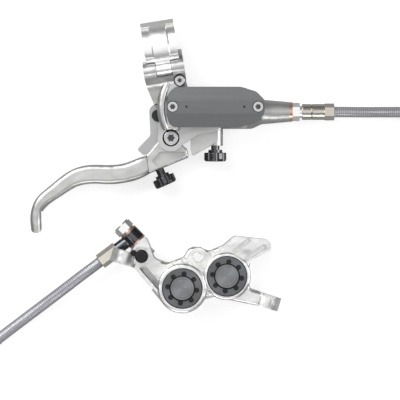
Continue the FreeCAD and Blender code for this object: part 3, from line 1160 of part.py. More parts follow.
def make_banjo():
    axis = local("banjo_u", "banjo_v", "banjo_z", (0, 0, 1), "banjo_turn")
    outward = Placement(Vector(0, 0, 0), Rotation(Vector(0, 1, 0), -90))
    hole = "banjo_bolt_diameter/2 + screw_gap"
    washers = new_body("banjo_washers")
    washers.AllowCompound = True
    for lift in ("0", "banjo_washer + banjo_eye_width"):
        sketch = new_sketch(washers, "XY_Plane", lift=lift)
        add_circle(sketch, 0, 0, "banjo_eye_diameter/2")
        pad(add_circle(sketch, 0, 0, hole), "banjo_washer")
    finish(washers, caliper, axis, outward)
    top = "2*banjo_washer + banjo_eye_width"
    shank = "banjo_bolt_diameter/2"
    bolt = turned("banjo_bolt", [(0, "-banjo_bolt_depth"), (shank, "-banjo_bolt_depth"), (shank, top),
                                 ("banjo_bolt_hex/2", top), ("banjo_bolt_hex/2", f"{top} + banjo_bolt_head"),
                                 (0, f"{top} + banjo_bolt_head")])
    pad(add_polygon(new_sketch(bolt, "XY_Plane", lift=f"{top} + 0.8"), hexagon("banjo_bolt_hex")),
        "banjo_bolt_head - 1.6")
    finish(bolt, caliper, axis, outward)

    eye_u = "banjo_u - (banjo_washer + banjo_eye_width/2)*cos(banjo_turn)"
    eye_v = "banjo_v - (banjo_washer + banjo_eye_width/2)*sin(banjo_turn)"
    body = new_body("banjo")
    eye = new_sketch(body, "YZ_Plane", yaw="banjo_turn - hose_turn")
    pad(add_circle(eye, 0, 0, "banjo_eye_diameter/2"), "banjo_eye_width", "Symmetric")
    neck = new_sketch(body, "YZ_Plane")
    pad(add_circle(neck, 0, 0, "banjo_neck_diameter/2"), "banjo_neck_length")
    hole_sketch = new_sketch(body, "YZ_Plane", yaw="banjo_turn - hose_turn")
    cut(add_circle(hole_sketch, 0, 0, hole), "4*banjo_eye_width", "Symmetric")
    for side, back in (("", True), ("-", False)):
        seat = new_sketch(body, "YZ_Plane", x=f"{side}banjo_eye_width/2*sin(banjo_turn - hose_turn)",
                          lift=f"{side}banjo_eye_width/2*cos(banjo_turn - hose_turn)", yaw="banjo_turn - hose_turn")
        cut(add_circle(seat, 0, 0, "banjo_eye_diameter/2 + free_gap"), "banjo_washer + free_gap", back=back)
    to_hose = local(eye_u, eye_v, "banjo_z", (0, 0, 1), "hose_turn")
    finish(body, caliper, to_hose)

    ferrule = new_body("hose_ferrule")
    along = Placement(Vector(0, 0, 0), Rotation(Vector(0, 1, 0), 90))
    pad(add_polygon(new_sketch(ferrule, "XY_Plane", lift="banjo_neck_length"), hexagon("ferrule_width")),
        "ferrule_length")
    mouth = new_sketch(ferrule, "XY_Plane", lift="banjo_neck_length + ferrule_length")
    cut(add_circle(mouth, 0, 0, "hose_diameter/2 + screw_gap"), "ferrule_length*0.7")
    finish(ferrule, caliper, to_hose, along)
    return to_hose


def make_bleed_nipple():
    thread, stem = "bleed_thread_diameter/2", "bleed_stem_diameter/2"
    body = turned("bleed_nipple", [(0, "-bleed_thread_length"), (thread, "-bleed_thread_length", 1), (thread, 0),
                                   (stem, 0), (stem, "bleed_hex_length + bleed_stem_length", 0.5),
                                   (0, "bleed_hex_length + bleed_stem_length")])
    pad(add_polygon(new_sketch(body, "XY_Plane"), hexagon("bleed_hex*0.92")), "bleed_hex_length")
    finish(body, caliper, local("bleed_u", "bleed_v", "bleed_boss_z"))
    outer, inner = "bleed_cap_diameter/2", "bleed_stem_diameter/2 + running_gap"
    top = "bleed_cap_height - 1"
    cap = turned("bleed_cap", [(inner, 0), (outer, 0), (outer, "bleed_cap_height", 1), (0, "bleed_cap_height"),
                               (0, top), (inner, top)])
    tail = new_sketch(cap, "XY_Plane")
    add_polygon(tail, box_corners("-bleed_tail_length", -0.8, "-bleed_stem_diameter/2 - 0.4", 0.8, 0.3))
    pad(tail, 1.4)
    loop = new_sketch(cap, "XY_Plane")
    pad(add_circle(loop, "-bleed_tail_length", 0, "bleed_tail_diameter/2"), 1.4)
    finish(cap, caliper, local("bleed_u", "bleed_v", "bleed_boss_z + bleed_hex_length", (0, 0, 1), -5))


def add_hose_piece(label, shape):
    piece = doc.addObject("Part::Feature", label)
    piece.Label = label
    piece.Shape = shape
    piece.Placement = Placement()
    hose_pieces.append(piece)
    return piece


def hose_run(points, bend):
    """Round hose along straight runs that are joined by bends."""
    path = [points[0]]
    edges = []
    for index in range(1, len(points) - 1):
        corner = points[index]
        back = (points[index - 1] - corner).normalize()
        ahead = (points[index + 1] - corner).normalize()
        half = back.getAngle(ahead) / 2
        reach = bend / math.tan(half)
        start, end = corner + back * reach, corner + ahead * reach
        centre = corner + (back + ahead).normalize() * (bend / math.sin(half))
        crown = centre + (corner - centre).normalize() * bend
        edges.append(Part.makeLine(path[-1], start))
        edges.append(Part.Arc(start, crown, end).toShape())
        path.append(end)
    edges.append(Part.makeLine(path[-1], points[-1]))
    wire = Part.Wire(edges)
    heading = (points[1] - points[0]).normalize()
    ring = Part.Wire(Part.makeCircle(size("hose_diameter/2"), points[0], heading))
    return wire.makePipeShell([ring], True, False)


make_master_cylinder_body()
make_clamp_strap()
make_clamp_fasteners()
make_reservoir_cover()
make_lever_blade()
make_actuator()
make_pivot()
make_piston_train()
bite_place = local("bite_boss_x", "bite_boss_y", "cylinder_z", (1, 0, 0), 90)
make_knob("bite_point_knob", "bite_screw_depth", bite_place)
reach_place = local("reach_x", "reach_y", "cylinder_z", (0, 0, 1), "reach_turn").multiply(local(axis=(0, 1, 0), angle=90))
make_knob("reach_knob", "reach_screw_depth", reach_place)
nut_end_x = make_hose_union()
make_caliper_body()
make_bore_caps()
make_pistons_and_pads()
make_pad_hardware()
hose_frame = make_banjo()
make_bleed_nipple()
doc.recompute()

for item in doc.Objects:
    if "Invalid" in item.State or "Error" in item.State:
        raise RuntimeError(f"{item.Name} did not build: {item.State}")

# The set stands on its lowest faces, with the middle of its plan at the origin.
extent = FreeCAD.BoundBox()
for piece in pieces:
    extent.add(piece.Shape.optimalBoundingBox(False, False))
shift = Vector(-(extent.XMin + extent.XMax) / 2, -(extent.YMin + extent.YMax) / 2, -extent.ZMin)
for piece in pieces:
    piece.Placement = Placement(shift, Rotation()).multiply(piece.Placement)
doc.recompute()

# The hose lies on the table: a run from the nut, a coil, and a run back to the ferrule.
middle = Placement(shift, Rotation())
rest = size("hose_diameter/2")
radius = size("coil_radius")
coil_centre = Vector(size("coil_x"), size("coil_y"), 0)
nut_mouth = middle.multiply(lever).multVec(Vector(nut_end_x - size("hose_insert"), size("cylinder_y"), size("cylinder_z")))
coil_top = coil_centre + Vector(0, radius, rest)
lead = Vector(size("hose_start_run"), 0, 0)
add_hose_piece("hose_lever_run", hose_run([nut_mouth, nut_mouth + lead, coil_top - lead, coil_top],
                                          size("2*hose_bend")))
coil_height = size("coil_turns*hose_diameter")
coil_profile = Part.makePolygon([coil_centre + Vector(radius + side * rest, 0, height)
                                 for side, height in ((-1, 0), (1, 0), (1, coil_height), (-1, coil_height), (-1, 0))])
add_hose_piece("hose_coil", Part.Face(coil_profile).revolve(coil_centre, Vector(0, 0, 1), 360))
along_hose = middle.multiply(caliper).multiply(hose_frame)
mouth_x = size("banjo_neck_length + ferrule_length - hose_insert")
ferrule_mouth = along_hose.multVec(Vector(mouth_x, 0, 0))
heading = along_hose.Rotation.multVec(Vector(1, 0, 0))
landing = ferrule_mouth + heading * size("hose_rise")
landing.z = rest
low = size("hose_low_y")
far_corner = landing + heading * ((low - landing.y) / heading.y)
coil_right = coil_centre + Vector(radius, 0, coil_height - rest)
settled = Vector(coil_right.x, coil_right.y - size("hose_rise"), rest)
add_hose_piece("hose_caliper_run", hose_run([coil_right, settled, Vector(coil_right.x, low, rest), far_corner, landing,
                                             ferrule_mouth + heading * 8, ferrule_mouth], size("hose_bend")))

os.makedirs("parts", exist_ok=True)
for piece in pieces + hose_pieces:
    shape = piece.Shape
    if shape.isNull() or not shape.isValid():
        raise RuntimeError(f"{piece.Label} has no valid shape")
    shape.exportStep(f"parts/{piece.Label}.step")
    print(piece.Label, len(shape.Solids), round(shape.Volume, 1))
print("extent", extent, "shift", shift)
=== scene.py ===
import math

import bmesh
import bpy
from bpy.props import FloatProperty, FloatVectorProperty, PointerProperty
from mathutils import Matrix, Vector


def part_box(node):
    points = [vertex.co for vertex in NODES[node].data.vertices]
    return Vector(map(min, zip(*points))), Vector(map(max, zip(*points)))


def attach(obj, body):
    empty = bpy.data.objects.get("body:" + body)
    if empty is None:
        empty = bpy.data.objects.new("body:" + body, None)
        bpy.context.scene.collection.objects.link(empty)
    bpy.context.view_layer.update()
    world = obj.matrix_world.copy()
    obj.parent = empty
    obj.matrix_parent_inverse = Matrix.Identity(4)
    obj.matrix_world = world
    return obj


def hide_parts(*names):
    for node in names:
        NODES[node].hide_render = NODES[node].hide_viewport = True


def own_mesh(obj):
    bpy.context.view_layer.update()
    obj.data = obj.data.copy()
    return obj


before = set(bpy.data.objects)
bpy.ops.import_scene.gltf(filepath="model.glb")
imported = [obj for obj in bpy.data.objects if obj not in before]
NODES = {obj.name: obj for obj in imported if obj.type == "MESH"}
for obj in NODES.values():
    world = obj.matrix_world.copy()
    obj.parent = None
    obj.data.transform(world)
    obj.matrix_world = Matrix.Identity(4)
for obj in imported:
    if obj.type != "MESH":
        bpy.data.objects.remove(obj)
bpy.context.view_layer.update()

bl_info = {
    "name": "Bicycle disc brake looks",
    "version": (1, 0, 0),
    "blender": (4, 5, 0),
    "location": "View3D > Sidebar > Brake",
    "description": "Finishes, hose and stage for a hydraulic bicycle disc brake",
    "category": "Object",
}

MM = 0.001


def colour(name, description, value):
    return FloatVectorProperty(name=name, description=description, subtype="COLOR", size=3, min=0.0, max=1.0,
                               default=value)


def length(name, description, value):
    return FloatProperty(name=name, description=description, unit="LENGTH", min=0.0, default=value)


class BrakeFinishes(bpy.types.PropertyGroup):
    """Colours of the brake's finishes"""
    # The lever's silver is painted darker than the caliper's: painted shade on the same satin
    silver: colour("Silver", "Satin body and blade of the lever", (0.57, 0.57, 0.565))
    bright_silver: colour("Bright silver", "Polished strap and fittings", (0.86, 0.86, 0.855))
    # The caliper's silver is the same satin painted paler: painted light
    caliper_silver: colour("Caliper silver", "Pale satin caliper", (0.90, 0.90, 0.895))
    lid_grey: colour("Lid grey", "Brushed lid of the reservoir", (0.172, 0.176, 0.182))
    cap_grey: colour("Cap grey", "Turned disc of the bore caps", (0.27, 0.28, 0.29))
    cap_ring: colour("Cap ring", "Rim of the bore caps", (0.17, 0.176, 0.185))
    # Shadow is the colour of the painted shadow at the seam and the wall of the disc, and of the painted
    # shade in the notches
    shadow: colour("Shadow", "Seams and notches of the bore caps", (0.008, 0.008, 0.009))
    arm_grey: colour("Arm grey", "Actuator arm", (0.43, 0.43, 0.435))
    steel: colour("Steel", "Screws, pins and springs", (0.55, 0.55, 0.56))
    dark_steel: colour("Dark steel", "Blackened barrel and bushes", (0.035, 0.036, 0.038))
    copper: colour("Copper", "Sealing washers", (0.66, 0.43, 0.31))
    sleeve: colour("Sleeve", "Plated sleeve of the hose nut", (0.56, 0.53, 0.475))
    knob_black: colour("Knob black", "Dark plated knobs", (0.10, 0.10, 0.105))
    rubber_black: colour("Rubber black", "Seals, diaphragm, bleed cap and tie", (0.008, 0.008, 0.009))
    braid_light: colour("Braid light", "Lit strands of the hose", (0.52, 0.52, 0.56))
    braid_dark: colour("Braid dark", "Gaps between the strands", (0.15, 0.15, 0.17))
    banjo_dark: colour("Banjo dark", "Polished dark banjo", (0.10, 0.105, 0.115))
    ferrule_cream: colour("Ferrule cream", "Crimped ferrule of the hose", (0.70, 0.67, 0.60))
    friction: colour("Friction", "Sintered pads", (0.12, 0.10, 0.09))
    phenolic: colour("Phenolic", "Caliper pistons", (0.13, 0.12, 0.11))
    floor: colour("Floor", "Pale floor", (0.36, 0.36, 0.36))


class BrakeSizes(bpy.types.PropertyGroup):
    """Sizes that the looks add"""
    hose_diameter: length("Hose diameter", "Outside of the braided hose", 5.3 * MM)
    hose_length: length("Hose length", "From the nut to the ferrule", 0.956)
    edge_round: length("Edge round", "Softened edges of the machined bodies", 0.35 * MM)
    small_edge_round: length("Small edge round", "Softened edges of screws and fittings", 0.12 * MM)
    banjo_round: length("Banjo round", "Rounded eye of the banjo", 1.1 * MM)
    bead_radius: length("Bead radius", "Half-round bead along the end of the lid", 2.3 * MM)
    # The pivot ring is how far the painted shade round the head of the pivot reaches past it
    pivot_ring: length("Pivot ring", "Dark gap round the head of the pivot", 0.55 * MM)
    # The screw ring is a real gap round the lid screws, and how far the painted shade round the lock screw's
    # head reaches past it
    screw_ring: length("Screw ring", "Dark gap round the heads of the small screws", 0.35 * MM)
    # The drive depth sets how deep the painted shade in the star recess of the screw heads reaches
    drive_depth: length("Drive depth", "Star recess in the screw heads", 1.05 * MM)


def finishes():
    return bpy.context.scene.brake_finishes


def sizes():
    return bpy.context.scene.brake_sizes


# Shared surface effects

COLOUR = "NodeSocketColor"
VALUE = "NodeSocketFloat"
GRAIN_OUTPUTS = (("Color", COLOUR), ("Roughness", VALUE), ("Height", VALUE))

# Sockets of the colour mix node
MIX_FACTOR, MIX_FIRST, MIX_SECOND = 0, 6, 7
MIX_RESULT = 2

# Part of its range that a noise fills
NOISE_LOW = 0.3
NOISE_HIGH = 0.7

# Scales of the noises on an object measured in metres
BLAST_GRAIN = 2600.0
FINE_GRAIN = 3600.0
CLOUD_SCALE = 90.0
SWELL_SCALE = 150.0
BRUSH_SCALE = (25.0, 4200.0, 4200.0)
RING_SCALE_OUT = 5200.0
RING_SCALE_UP = 900.0

# Bore cap: its radii, where each band of painted shadow and shade begins and is full, and how far the lathe
# lines and the painted shade in the notches darken it
CAP_DISC_RADIUS = 6.1 * MM
CAP_RADIUS = 10.05 * MM
CAP_WALL_BAND = (0.45 * MM, 0.2 * MM)
CAP_NOTCH_BAND = (0.4 * MM, 1.2 * MM)
CAP_SEAM_BAND = (0.5 * MM, 0.2 * MM)
CAP_LINE_SHARE = 0.6
CAP_NOTCH_STRENGTH = 0.75

# Recess: the share of its depth where the painted shade begins and is full, and the shares of the tone
# that the painted shade leaves on the floors of a recess and a seat
RECESS_BAND = (0.15, 0.7)
RECESS_SHARE = 0.16
SEAT_SHARE = 0.02

# Braid: strands counted along the whole hose, and round it
BRAID_ALONG = 440.0
BRAID_AROUND = 11.0


def new_group(name, inputs, outputs):
    """Empty node group; an input is a name and its default, an output a name and its kind."""
    group = bpy.data.node_groups.new(name, "ShaderNodeTree")
    for label, default in inputs:
        kind = COLOUR if isinstance(default, tuple) else VALUE
        socket = group.interface.new_socket(label, in_out="INPUT", socket_type=kind)
        socket.default_value = (*default, 1.0) if isinstance(default, tuple) else default
    for label, kind in outputs:
        group.interface.new_socket(label, in_out="OUTPUT", socket_type=kind)
    return group, group.nodes.new("NodeGroupInput"), group.nodes.new("NodeGroupOutput")


def place(tree, kind, **values):
    """Node of a kind with its settings and unlinked values."""
    node = tree.nodes.new(kind)
    for key, value in values.items():
        if hasattr(node, key):
            setattr(node, key, value)
        else:
            node.inputs[key].default_value = value
    return node


def feed(tree, value, socket):
    """Set a socket to a number, or link an output to it."""
    if isinstance(value, (int, float)):
        socket.default_value = value
    else:
        tree.links.new(value, socket)


def math_node(tree, operation, *values):
    node = place(tree, "ShaderNodeMath", operation=operation)
    for socket, value in zip(node.inputs, values):
        feed(tree, value, socket)
    return node.outputs[0]


def noise_value(tree, vector, scale, detail):
    node = place(tree, "ShaderNodeTexNoise", Detail=detail)
    tree.links.new(vector, node.inputs["Vector"])
    feed(tree, scale, node.inputs["Scale"])
    return node.outputs["Fac"]


def spread_value(tree, value, low, high):
    """Noise spread between a low and a high value."""
    node = place(tree, "ShaderNodeMapRange")
    tree.links.new(value, node.inputs["Value"])
    node.inputs["From Min"].default_value = NOISE_LOW
    node.inputs["From Max"].default_value = NOISE_HIGH
    tree.links.new(low, node.inputs["To Min"])
    tree.links.new(high, node.inputs["To Max"])
    return node.outputs["Result"]


def tint_mix(tree, factor, first, second):
    node = place(tree, "ShaderNodeMix", data_type="RGBA")
    tree.links.new(factor, node.inputs[MIX_FACTOR])
    tree.links.new(first, node.inputs[MIX_FIRST])
    tree.links.new(second, node.inputs[MIX_SECOND])
    return node.outputs[MIX_RESULT]


def darken(tree, factor, tone, share):
    """Tone taken down to a share of itself where the factor is full."""
    node = place(tree, "ShaderNodeMix", data_type="RGBA", blend_type="MULTIPLY")
    tree.links.new(factor, node.inputs[MIX_FACTOR])
    tree.links.new(tone, node.inputs[MIX_FIRST])
    node.inputs[MIX_SECOND].default_value = (share, share, share, 1.0)
    return node.outputs[MIX_RESULT]


def fade(tree, value, start, end):
    """Smooth step from none at the start to full at the end."""
    node = place(tree, "ShaderNodeMapRange", interpolation_type="SMOOTHSTEP")
    tree.links.new(value, node.inputs["Value"])
    node.inputs["From Min"].default_value = start
    node.inputs["From Max"].default_value = end
    return node.outputs["Result"]


def object_spot(group):
    return group.nodes.new("ShaderNodeTexCoord").outputs["Object"]


def object_parts(group):
    """X, Y and Z of a spot on the piece."""
    parts = place(group, "ShaderNodeSeparateXYZ")
    group.links.new(object_spot(group), parts.inputs[0])
    return parts.outputs


def upright_place(group, source):
    """Distance from the upright axis given by a group's centre inputs, and the height."""
    parts = object_parts(group)
    across = math_node(group, "SUBTRACT", parts["X"], source.outputs["Centre X"])
    along = math_node(group, "SUBTRACT", parts["Y"], source.outputs["Centre Y"])
    square = math_node(group, "ADD", math_node(group, "MULTIPLY", across, across),
                       math_node(group, "MULTIPLY", along, along))
    return math_node(group, "SQRT", square), parts["Z"]


def ring_lines(group, radius, height):
    """Fine lathe lines round an axis."""
    ring = place(group, "ShaderNodeCombineXYZ")
    group.links.new(math_node(group, "MULTIPLY", radius, RING_SCALE_OUT), ring.inputs["X"])
    group.links.new(math_node(group, "MULTIPLY", height, RING_SCALE_UP), ring.inputs["Y"])
    return noise_value(group, ring.outputs[0], scale=1.0, detail=2.0)


def link_grain(group, source, sink, tone, grain):
    """Put out a tone, and a grain as roughness between the low and high inputs and as height."""
    rough = spread_value(group, grain, source.outputs["Low"], source.outputs["High"])
    group.links.new(tone, sink.inputs["Color"])
    group.links.new(rough, sink.inputs["Roughness"])
    group.links.new(grain, sink.inputs["Height"])


def blasted_group():
    """Even bead-blasted grain with faint cloudy tone, as on anodised or moulded parts."""
    group, source, sink = new_group(
        "Blasted grain",
        [("Tone", (0.8, 0.8, 0.8)), ("Shade", (0.7, 0.7, 0.7)), ("Low", 0.3), ("High", 0.4),
         ("Grain", BLAST_GRAIN)],
        [*GRAIN_OUTPUTS, ("Swell", VALUE)])
    spot = object_spot(group)
    cloud = noise_value(group, spot, CLOUD_SCALE, detail=4.0)
    group.links.new(noise_value(group, spot, SWELL_SCALE, detail=1.0), sink.inputs["Swell"])
    grain = noise_value(group, spot, source.outputs["Grain"], detail=3.0)
    tone = tint_mix(group, cloud, source.outputs["Tone"], source.outputs["Shade"])
    link_grain(group, source, sink, tone, grain)
    return group


def brushed_group():
    """Fine straight scratches along the length of a part."""
    group, source, sink = new_group(
        "Brushed grain",
        [("Tone", (0.2, 0.2, 0.2)), ("Shade", (0.15, 0.15, 0.15)), ("Low", 0.3), ("High", 0.5)],
        GRAIN_OUTPUTS)
    stretch = place(group, "ShaderNodeMapping", Scale=BRUSH_SCALE)
    group.links.new(object_spot(group), stretch.inputs["Vector"])
    lines = noise_value(group, stretch.outputs["Vector"], scale=1.0, detail=3.0)
    tone = tint_mix(group, lines, source.outputs["Tone"], source.outputs["Shade"])
    link_grain(group, source, sink, tone, lines)
    return group


def turned_group():
    """Fine rings about an upright axis through a point, as left by a lathe."""
    group, source, sink = new_group(
        "Turned rings",
        [("Tone", (0.2, 0.2, 0.2)), ("Shade", (0.15, 0.15, 0.15)), ("Low", 0.25), ("High", 0.45),
         ("Centre X", 0.0), ("Centre Y", 0.0)],
        GRAIN_OUTPUTS)
    lines = ring_lines(group, *upright_place(group, source))
    tone = tint_mix(group, lines, source.outputs["Tone"], source.outputs["Shade"])
    link_grain(group, source, sink, tone, lines)
    return group


def cap_group():
    """Turned cap: bright sunk disc, darker rim, painted shade in its sunk notches, painted shadow at wall and
    seam.
    """
    group, source, sink = new_group(
        "Notched cap",
        [("Disc", (0.3, 0.3, 0.3)), ("Rim", (0.2, 0.2, 0.2)), ("Shadow", (0.01, 0.01, 0.01)), ("Low", 0.25),
         ("High", 0.45), ("Centre X", 0.0), ("Centre Y", 0.0), ("Top", 0.0), ("Disc radius", CAP_DISC_RADIUS),
         ("Cap radius", CAP_RADIUS)],
        GRAIN_OUTPUTS)
    radius, height = upright_place(group, source)
    lines = ring_lines(group, radius, height)
    wall = source.outputs["Disc radius"]
    outside = math_node(group, "GREATER_THAN", radius, wall)
    tone = tint_mix(group, outside, source.outputs["Disc"], source.outputs["Rim"])
    tone = darken(group, lines, tone, CAP_LINE_SHARE)
    # Painted shadow line on the floor at the wall of the sunk disc
    near = math_node(group, "ABSOLUTE", math_node(group, "SUBTRACT", radius, wall))
    line = fade(group, near, *CAP_WALL_BAND)
    # Painted shade on the sunk floors of the notches
    sunk = math_node(group, "SUBTRACT", source.outputs["Top"], height)
    notch_shade = math_node(group, "MULTIPLY", fade(group, sunk, *CAP_NOTCH_BAND), outside)
    notch_shade = math_node(group, "MULTIPLY", notch_shade, CAP_NOTCH_STRENGTH)
    # Painted shadow line along the seam at the edge of the cap
    inset = math_node(group, "SUBTRACT", source.outputs["Cap radius"], radius)
    seam = fade(group, inset, *CAP_SEAM_BAND)
    # All the painted shadow and shade of the cap together
    dark = math_node(group, "MAXIMUM", math_node(group, "MAXIMUM", line, notch_shade), seam)
    link_grain(group, source, sink, tint_mix(group, dark, tone, source.outputs["Shadow"]), lines)
    return group


def recess_group():
    """Painted shade on the floor of a recess that is sunk from a face at a height."""
    group, source, sink = new_group(
        "Painted recess shade", [("Color", (0.6, 0.6, 0.6)), ("Top", 0.0), ("Depth", 1.0 * MM)], [("Color", COLOUR)])
    sunk = math_node(group, "SUBTRACT", source.outputs["Top"], object_parts(group)["Z"])
    # Painted shade: the deeper below the top, the darker the floor
    floor = fade(group, math_node(group, "DIVIDE", sunk, source.outputs["Depth"]), *RECESS_BAND)
    group.links.new(darken(group, floor, source.outputs["Color"], RECESS_SHARE), sink.inputs["Color"])
    return group


def seat_group():
    """Painted shade in the seat round the head of a screw."""
    group, source, sink = new_group(
        "Painted seat shade",
        [("Color", (0.6, 0.6, 0.6)), ("Centre X", 0.0), ("Centre Y", 0.0), ("Reach", 4.0 * MM)],
        [("Color", COLOUR)])
    radius = upright_place(group, source)[0]
    inside = math_node(group, "LESS_THAN", radius, source.outputs["Reach"])
    group.links.new(darken(group, inside, source.outputs["Color"], SEAT_SHARE), sink.inputs["Color"])
    return group


def braid_group():
    """Crossing strands wound round a hose, from its lengthwise and round coordinates."""
    group, source, sink = new_group(
        "Hose braid",
        [("Strand", (0.5, 0.5, 0.5)), ("Gap", (0.1, 0.1, 0.1)), ("Along", BRAID_ALONG),
         ("Around", BRAID_AROUND)],
        [("Color", COLOUR), ("Height", VALUE)])
    spot = place(group, "ShaderNodeSeparateXYZ")
    group.links.new(group.nodes.new("ShaderNodeTexCoord").outputs["UV"], spot.inputs[0])
    along = math_node(group, "MULTIPLY", spot.outputs["X"], source.outputs["Along"])
    around = math_node(group, "MULTIPLY", spot.outputs["Y"], source.outputs["Around"])
    waves = []
    for operation in ("ADD", "SUBTRACT"):
        phase = math_node(group, "MULTIPLY", math_node(group, operation, along, around), math.tau)
        waves.append(math_node(group, "SINE", phase))
    cross = math_node(group, "MULTIPLY", *waves)
    height = math_node(group, "MULTIPLY_ADD", cross, 0.5, 0.5)
    tone = tint_mix(group, height, source.outputs["Gap"], source.outputs["Strand"])
    group.links.new(tone, sink.inputs["Color"])
    group.links.new(height, sink.inputs["Height"])
    return group


GROUP_MAKERS = {"Blasted grain": blasted_group, "Brushed grain": brushed_group, "Turned rings": turned_group,
                "Notched cap": cap_group, "Painted recess shade": recess_group, "Painted seat shade": seat_group,
                "Hose braid": braid_group}


def place_group(tree, name, values):
    """Node of a shared group, which is made when it is first used, with its values."""
    node = tree.nodes.new("ShaderNodeGroup")
    node.node_tree = bpy.data.node_groups.get(name) or GROUP_MAKERS[name]()
    for key, value in values.items():
        node.inputs[key].default_value = (*value, 1.0) if isinstance(value, tuple) else value
    return node


# Finishes

def surface(name, group_name, values, metallic, bump, depth, shades=(), swell=0.0, **fixed):
    """Material with one grain group for colour, roughness and a fine bump, and groups that shade its colour.

    A swell is the depth of the slow waves that tumbling leaves in a surface.
    """
    material = bpy.data.materials.get(name)
    if material:
        return material
    material = bpy.data.materials.new(name)
    material.use_nodes = True
    tree = material.node_tree
    shader = tree.nodes["Principled BSDF"]
    shader.inputs["Metallic"].default_value = metallic
    for key, value in fixed.items():
        shader.inputs[key.replace("_", " ")].default_value = value
    grain = place_group(tree, group_name, values)
    tone = grain.outputs["Color"]
    for shade_name, shade_values in shades:
        shade = place_group(tree, shade_name, shade_values)
        tree.links.new(tone, shade.inputs["Color"])
        tone = shade.outputs["Color"]
    tree.links.new(tone, shader.inputs["Base Color"])
    if "Roughness" in grain.outputs:
        tree.links.new(grain.outputs["Roughness"], shader.inputs["Roughness"])
    relief = place(tree, "ShaderNodeBump", Strength=bump, Distance=depth)
    tree.links.new(grain.outputs["Height"], relief.inputs["Height"])
    tree.links.new(relief.outputs["Normal"], shader.inputs["Normal"])
    if swell:
        waves = place(tree, "ShaderNodeBump", Strength=1.0, Distance=swell)
        tree.links.new(grain.outputs["Swell"], waves.inputs["Height"])
        tree.links.new(waves.outputs["Normal"], relief.inputs["Normal"])
    main_tone = next(value for value in values.values() if isinstance(value, tuple))
    material.diffuse_color = (*main_tone, 1.0)
    return material


def grain_values(tone, shade, rough):
    """Inputs of a grain: a tone, its darker share, and the lowest and highest roughness."""
    darker = tuple(channel * shade for channel in tone)
    return {"Tone": tuple(tone), "Shade": darker, "Low": rough[0], "High": rough[1]}


def blasted(name, tone, rough, metallic=1.0, bump=0.12, depth=0.04 * MM, grain=BLAST_GRAIN, shade=0.93,
            **more):
    """Even grain in a tone, with the lowest and highest roughness."""
    values = {**grain_values(tone, shade, rough), "Grain": grain}
    return surface(name, "Blasted grain", values, metallic, bump, depth, **more)


def middle(node):
    """Centre inputs for a group about the upright axis of a node."""
    lowest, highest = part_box(node)
    return {"Centre X": (lowest[0] + highest[0]) / 2, "Centre Y": (lowest[1] + highest[1]) / 2}


def top_of(node):
    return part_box(node)[1][2]


def painted_drive_shade(node):
    """Painted shade for the drive recess in the upper end of a screw."""
    return ("Painted recess shade", {"Top": top_of(node), "Depth": sizes().drive_depth})


def painted_gap_shade(node, width):
    """Painted shade for the seat round the head of a screw, a little wider than its head."""
    lowest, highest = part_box(node)
    return ("Painted seat shade", {**middle(node), "Reach": (highest[0] - lowest[0]) / 2 + width})


def turned_screw(name, node):
    """Lathe rings about the middle of a screw, and painted shade in its drive recess."""
    values = {**grain_values(finishes().steel, shade=0.8, rough=(0.22, 0.42)), **middle(node)}
    return surface(name, "Turned rings", values, metallic=1.0, bump=0.15, depth=0.03 * MM,
                   shades=[painted_drive_shade(node)])


def round_the_axis(material, share):
    """Sheen drawn out round the upright axis of the piece, as on a turned face."""
    tree = material.node_tree
    shader = tree.nodes["Principled BSDF"]
    shader.inputs["Anisotropic"].default_value = share
    heading = place(tree, "ShaderNodeTangent", direction_type="RADIAL", axis="Z")
    tree.links.new(heading.outputs["Tangent"], shader.inputs["Tangent"])
    return material


def silver(name="Satin silver", **more):
    return blasted(name, finishes().silver, (0.34, 0.46), shade=0.8, swell=0.45 * MM, **more)


def steel(name="Machined steel", **more):
    return blasted(name, finishes().steel, (0.22, 0.3), bump=0.01, grain=FINE_GRAIN, **more)


def bright_fitting():
    return blasted("Bright fitting", finishes().bright_silver, (0.24, 0.32), bump=0.01, grain=FINE_GRAIN)


def dark_steel():
    return blasted("Blackened steel", finishes().dark_steel, (0.3, 0.45), metallic=0.8, grain=FINE_GRAIN)


def black_rubber():
    return blasted("Black rubber", finishes().rubber_black, (0.42, 0.6), metallic=0.0, bump=0.2, grain=1800.0,
                   Specular_IOR_Level=0.3)


def copper():
    return blasted("Soft copper", finishes().copper, (0.22, 0.36), shade=0.85, grain=3000.0)


# Pieces

# Softened edges: steps of each round, the bend from which an edge is softened, and the shares of the usual
# round on the strap and the caliper
EDGE_STEPS = 2
EDGE_BEND = math.radians(35.0)
STRAP_ROUND = 2.0
CALIPER_ROUND = 1.6

# Round bars: their resolution along and round them
BAR_RESOLUTION = 8
BAR_ROUND_RESOLUTION = 6


def round_edges(piece, width):
    """Round the sharp edges of a piece a little, so that they catch the light."""
    bevel = piece.modifiers.new("Edges", "BEVEL")
    bevel.width = width
    bevel.segments = EDGE_STEPS
    bevel.limit_method = "ANGLE"
    bevel.angle_limit = EDGE_BEND
    bevel.use_clamp_overlap = True
    bevel.harden_normals = True
    bevel.miter_outer = "MITER_ARC"


def dress(node, material, edge=None):
    """Give a solid its finish, and softened edges where they show."""
    piece = NODES[node]
    piece.data.materials.clear()
    piece.data.materials.append(material)
    if edge:
        round_edges(piece, edge)


def add_object(name, data):
    added = bpy.data.objects.new(name, data)
    bpy.context.scene.collection.objects.link(added)
    return added


def add_mesh(name, mesh, material):
    mesh.materials.clear()
    mesh.materials.append(material)
    return add_object(name, mesh)


def mesh_of(name, curve):
    """Mesh made from a curve, which is then removed."""
    holder = bpy.data.objects.new(name, curve)
    mesh = bpy.data.meshes.new_from_object(holder)
    bpy.data.objects.remove(holder)
    bpy.data.curves.remove(curve)
    return mesh


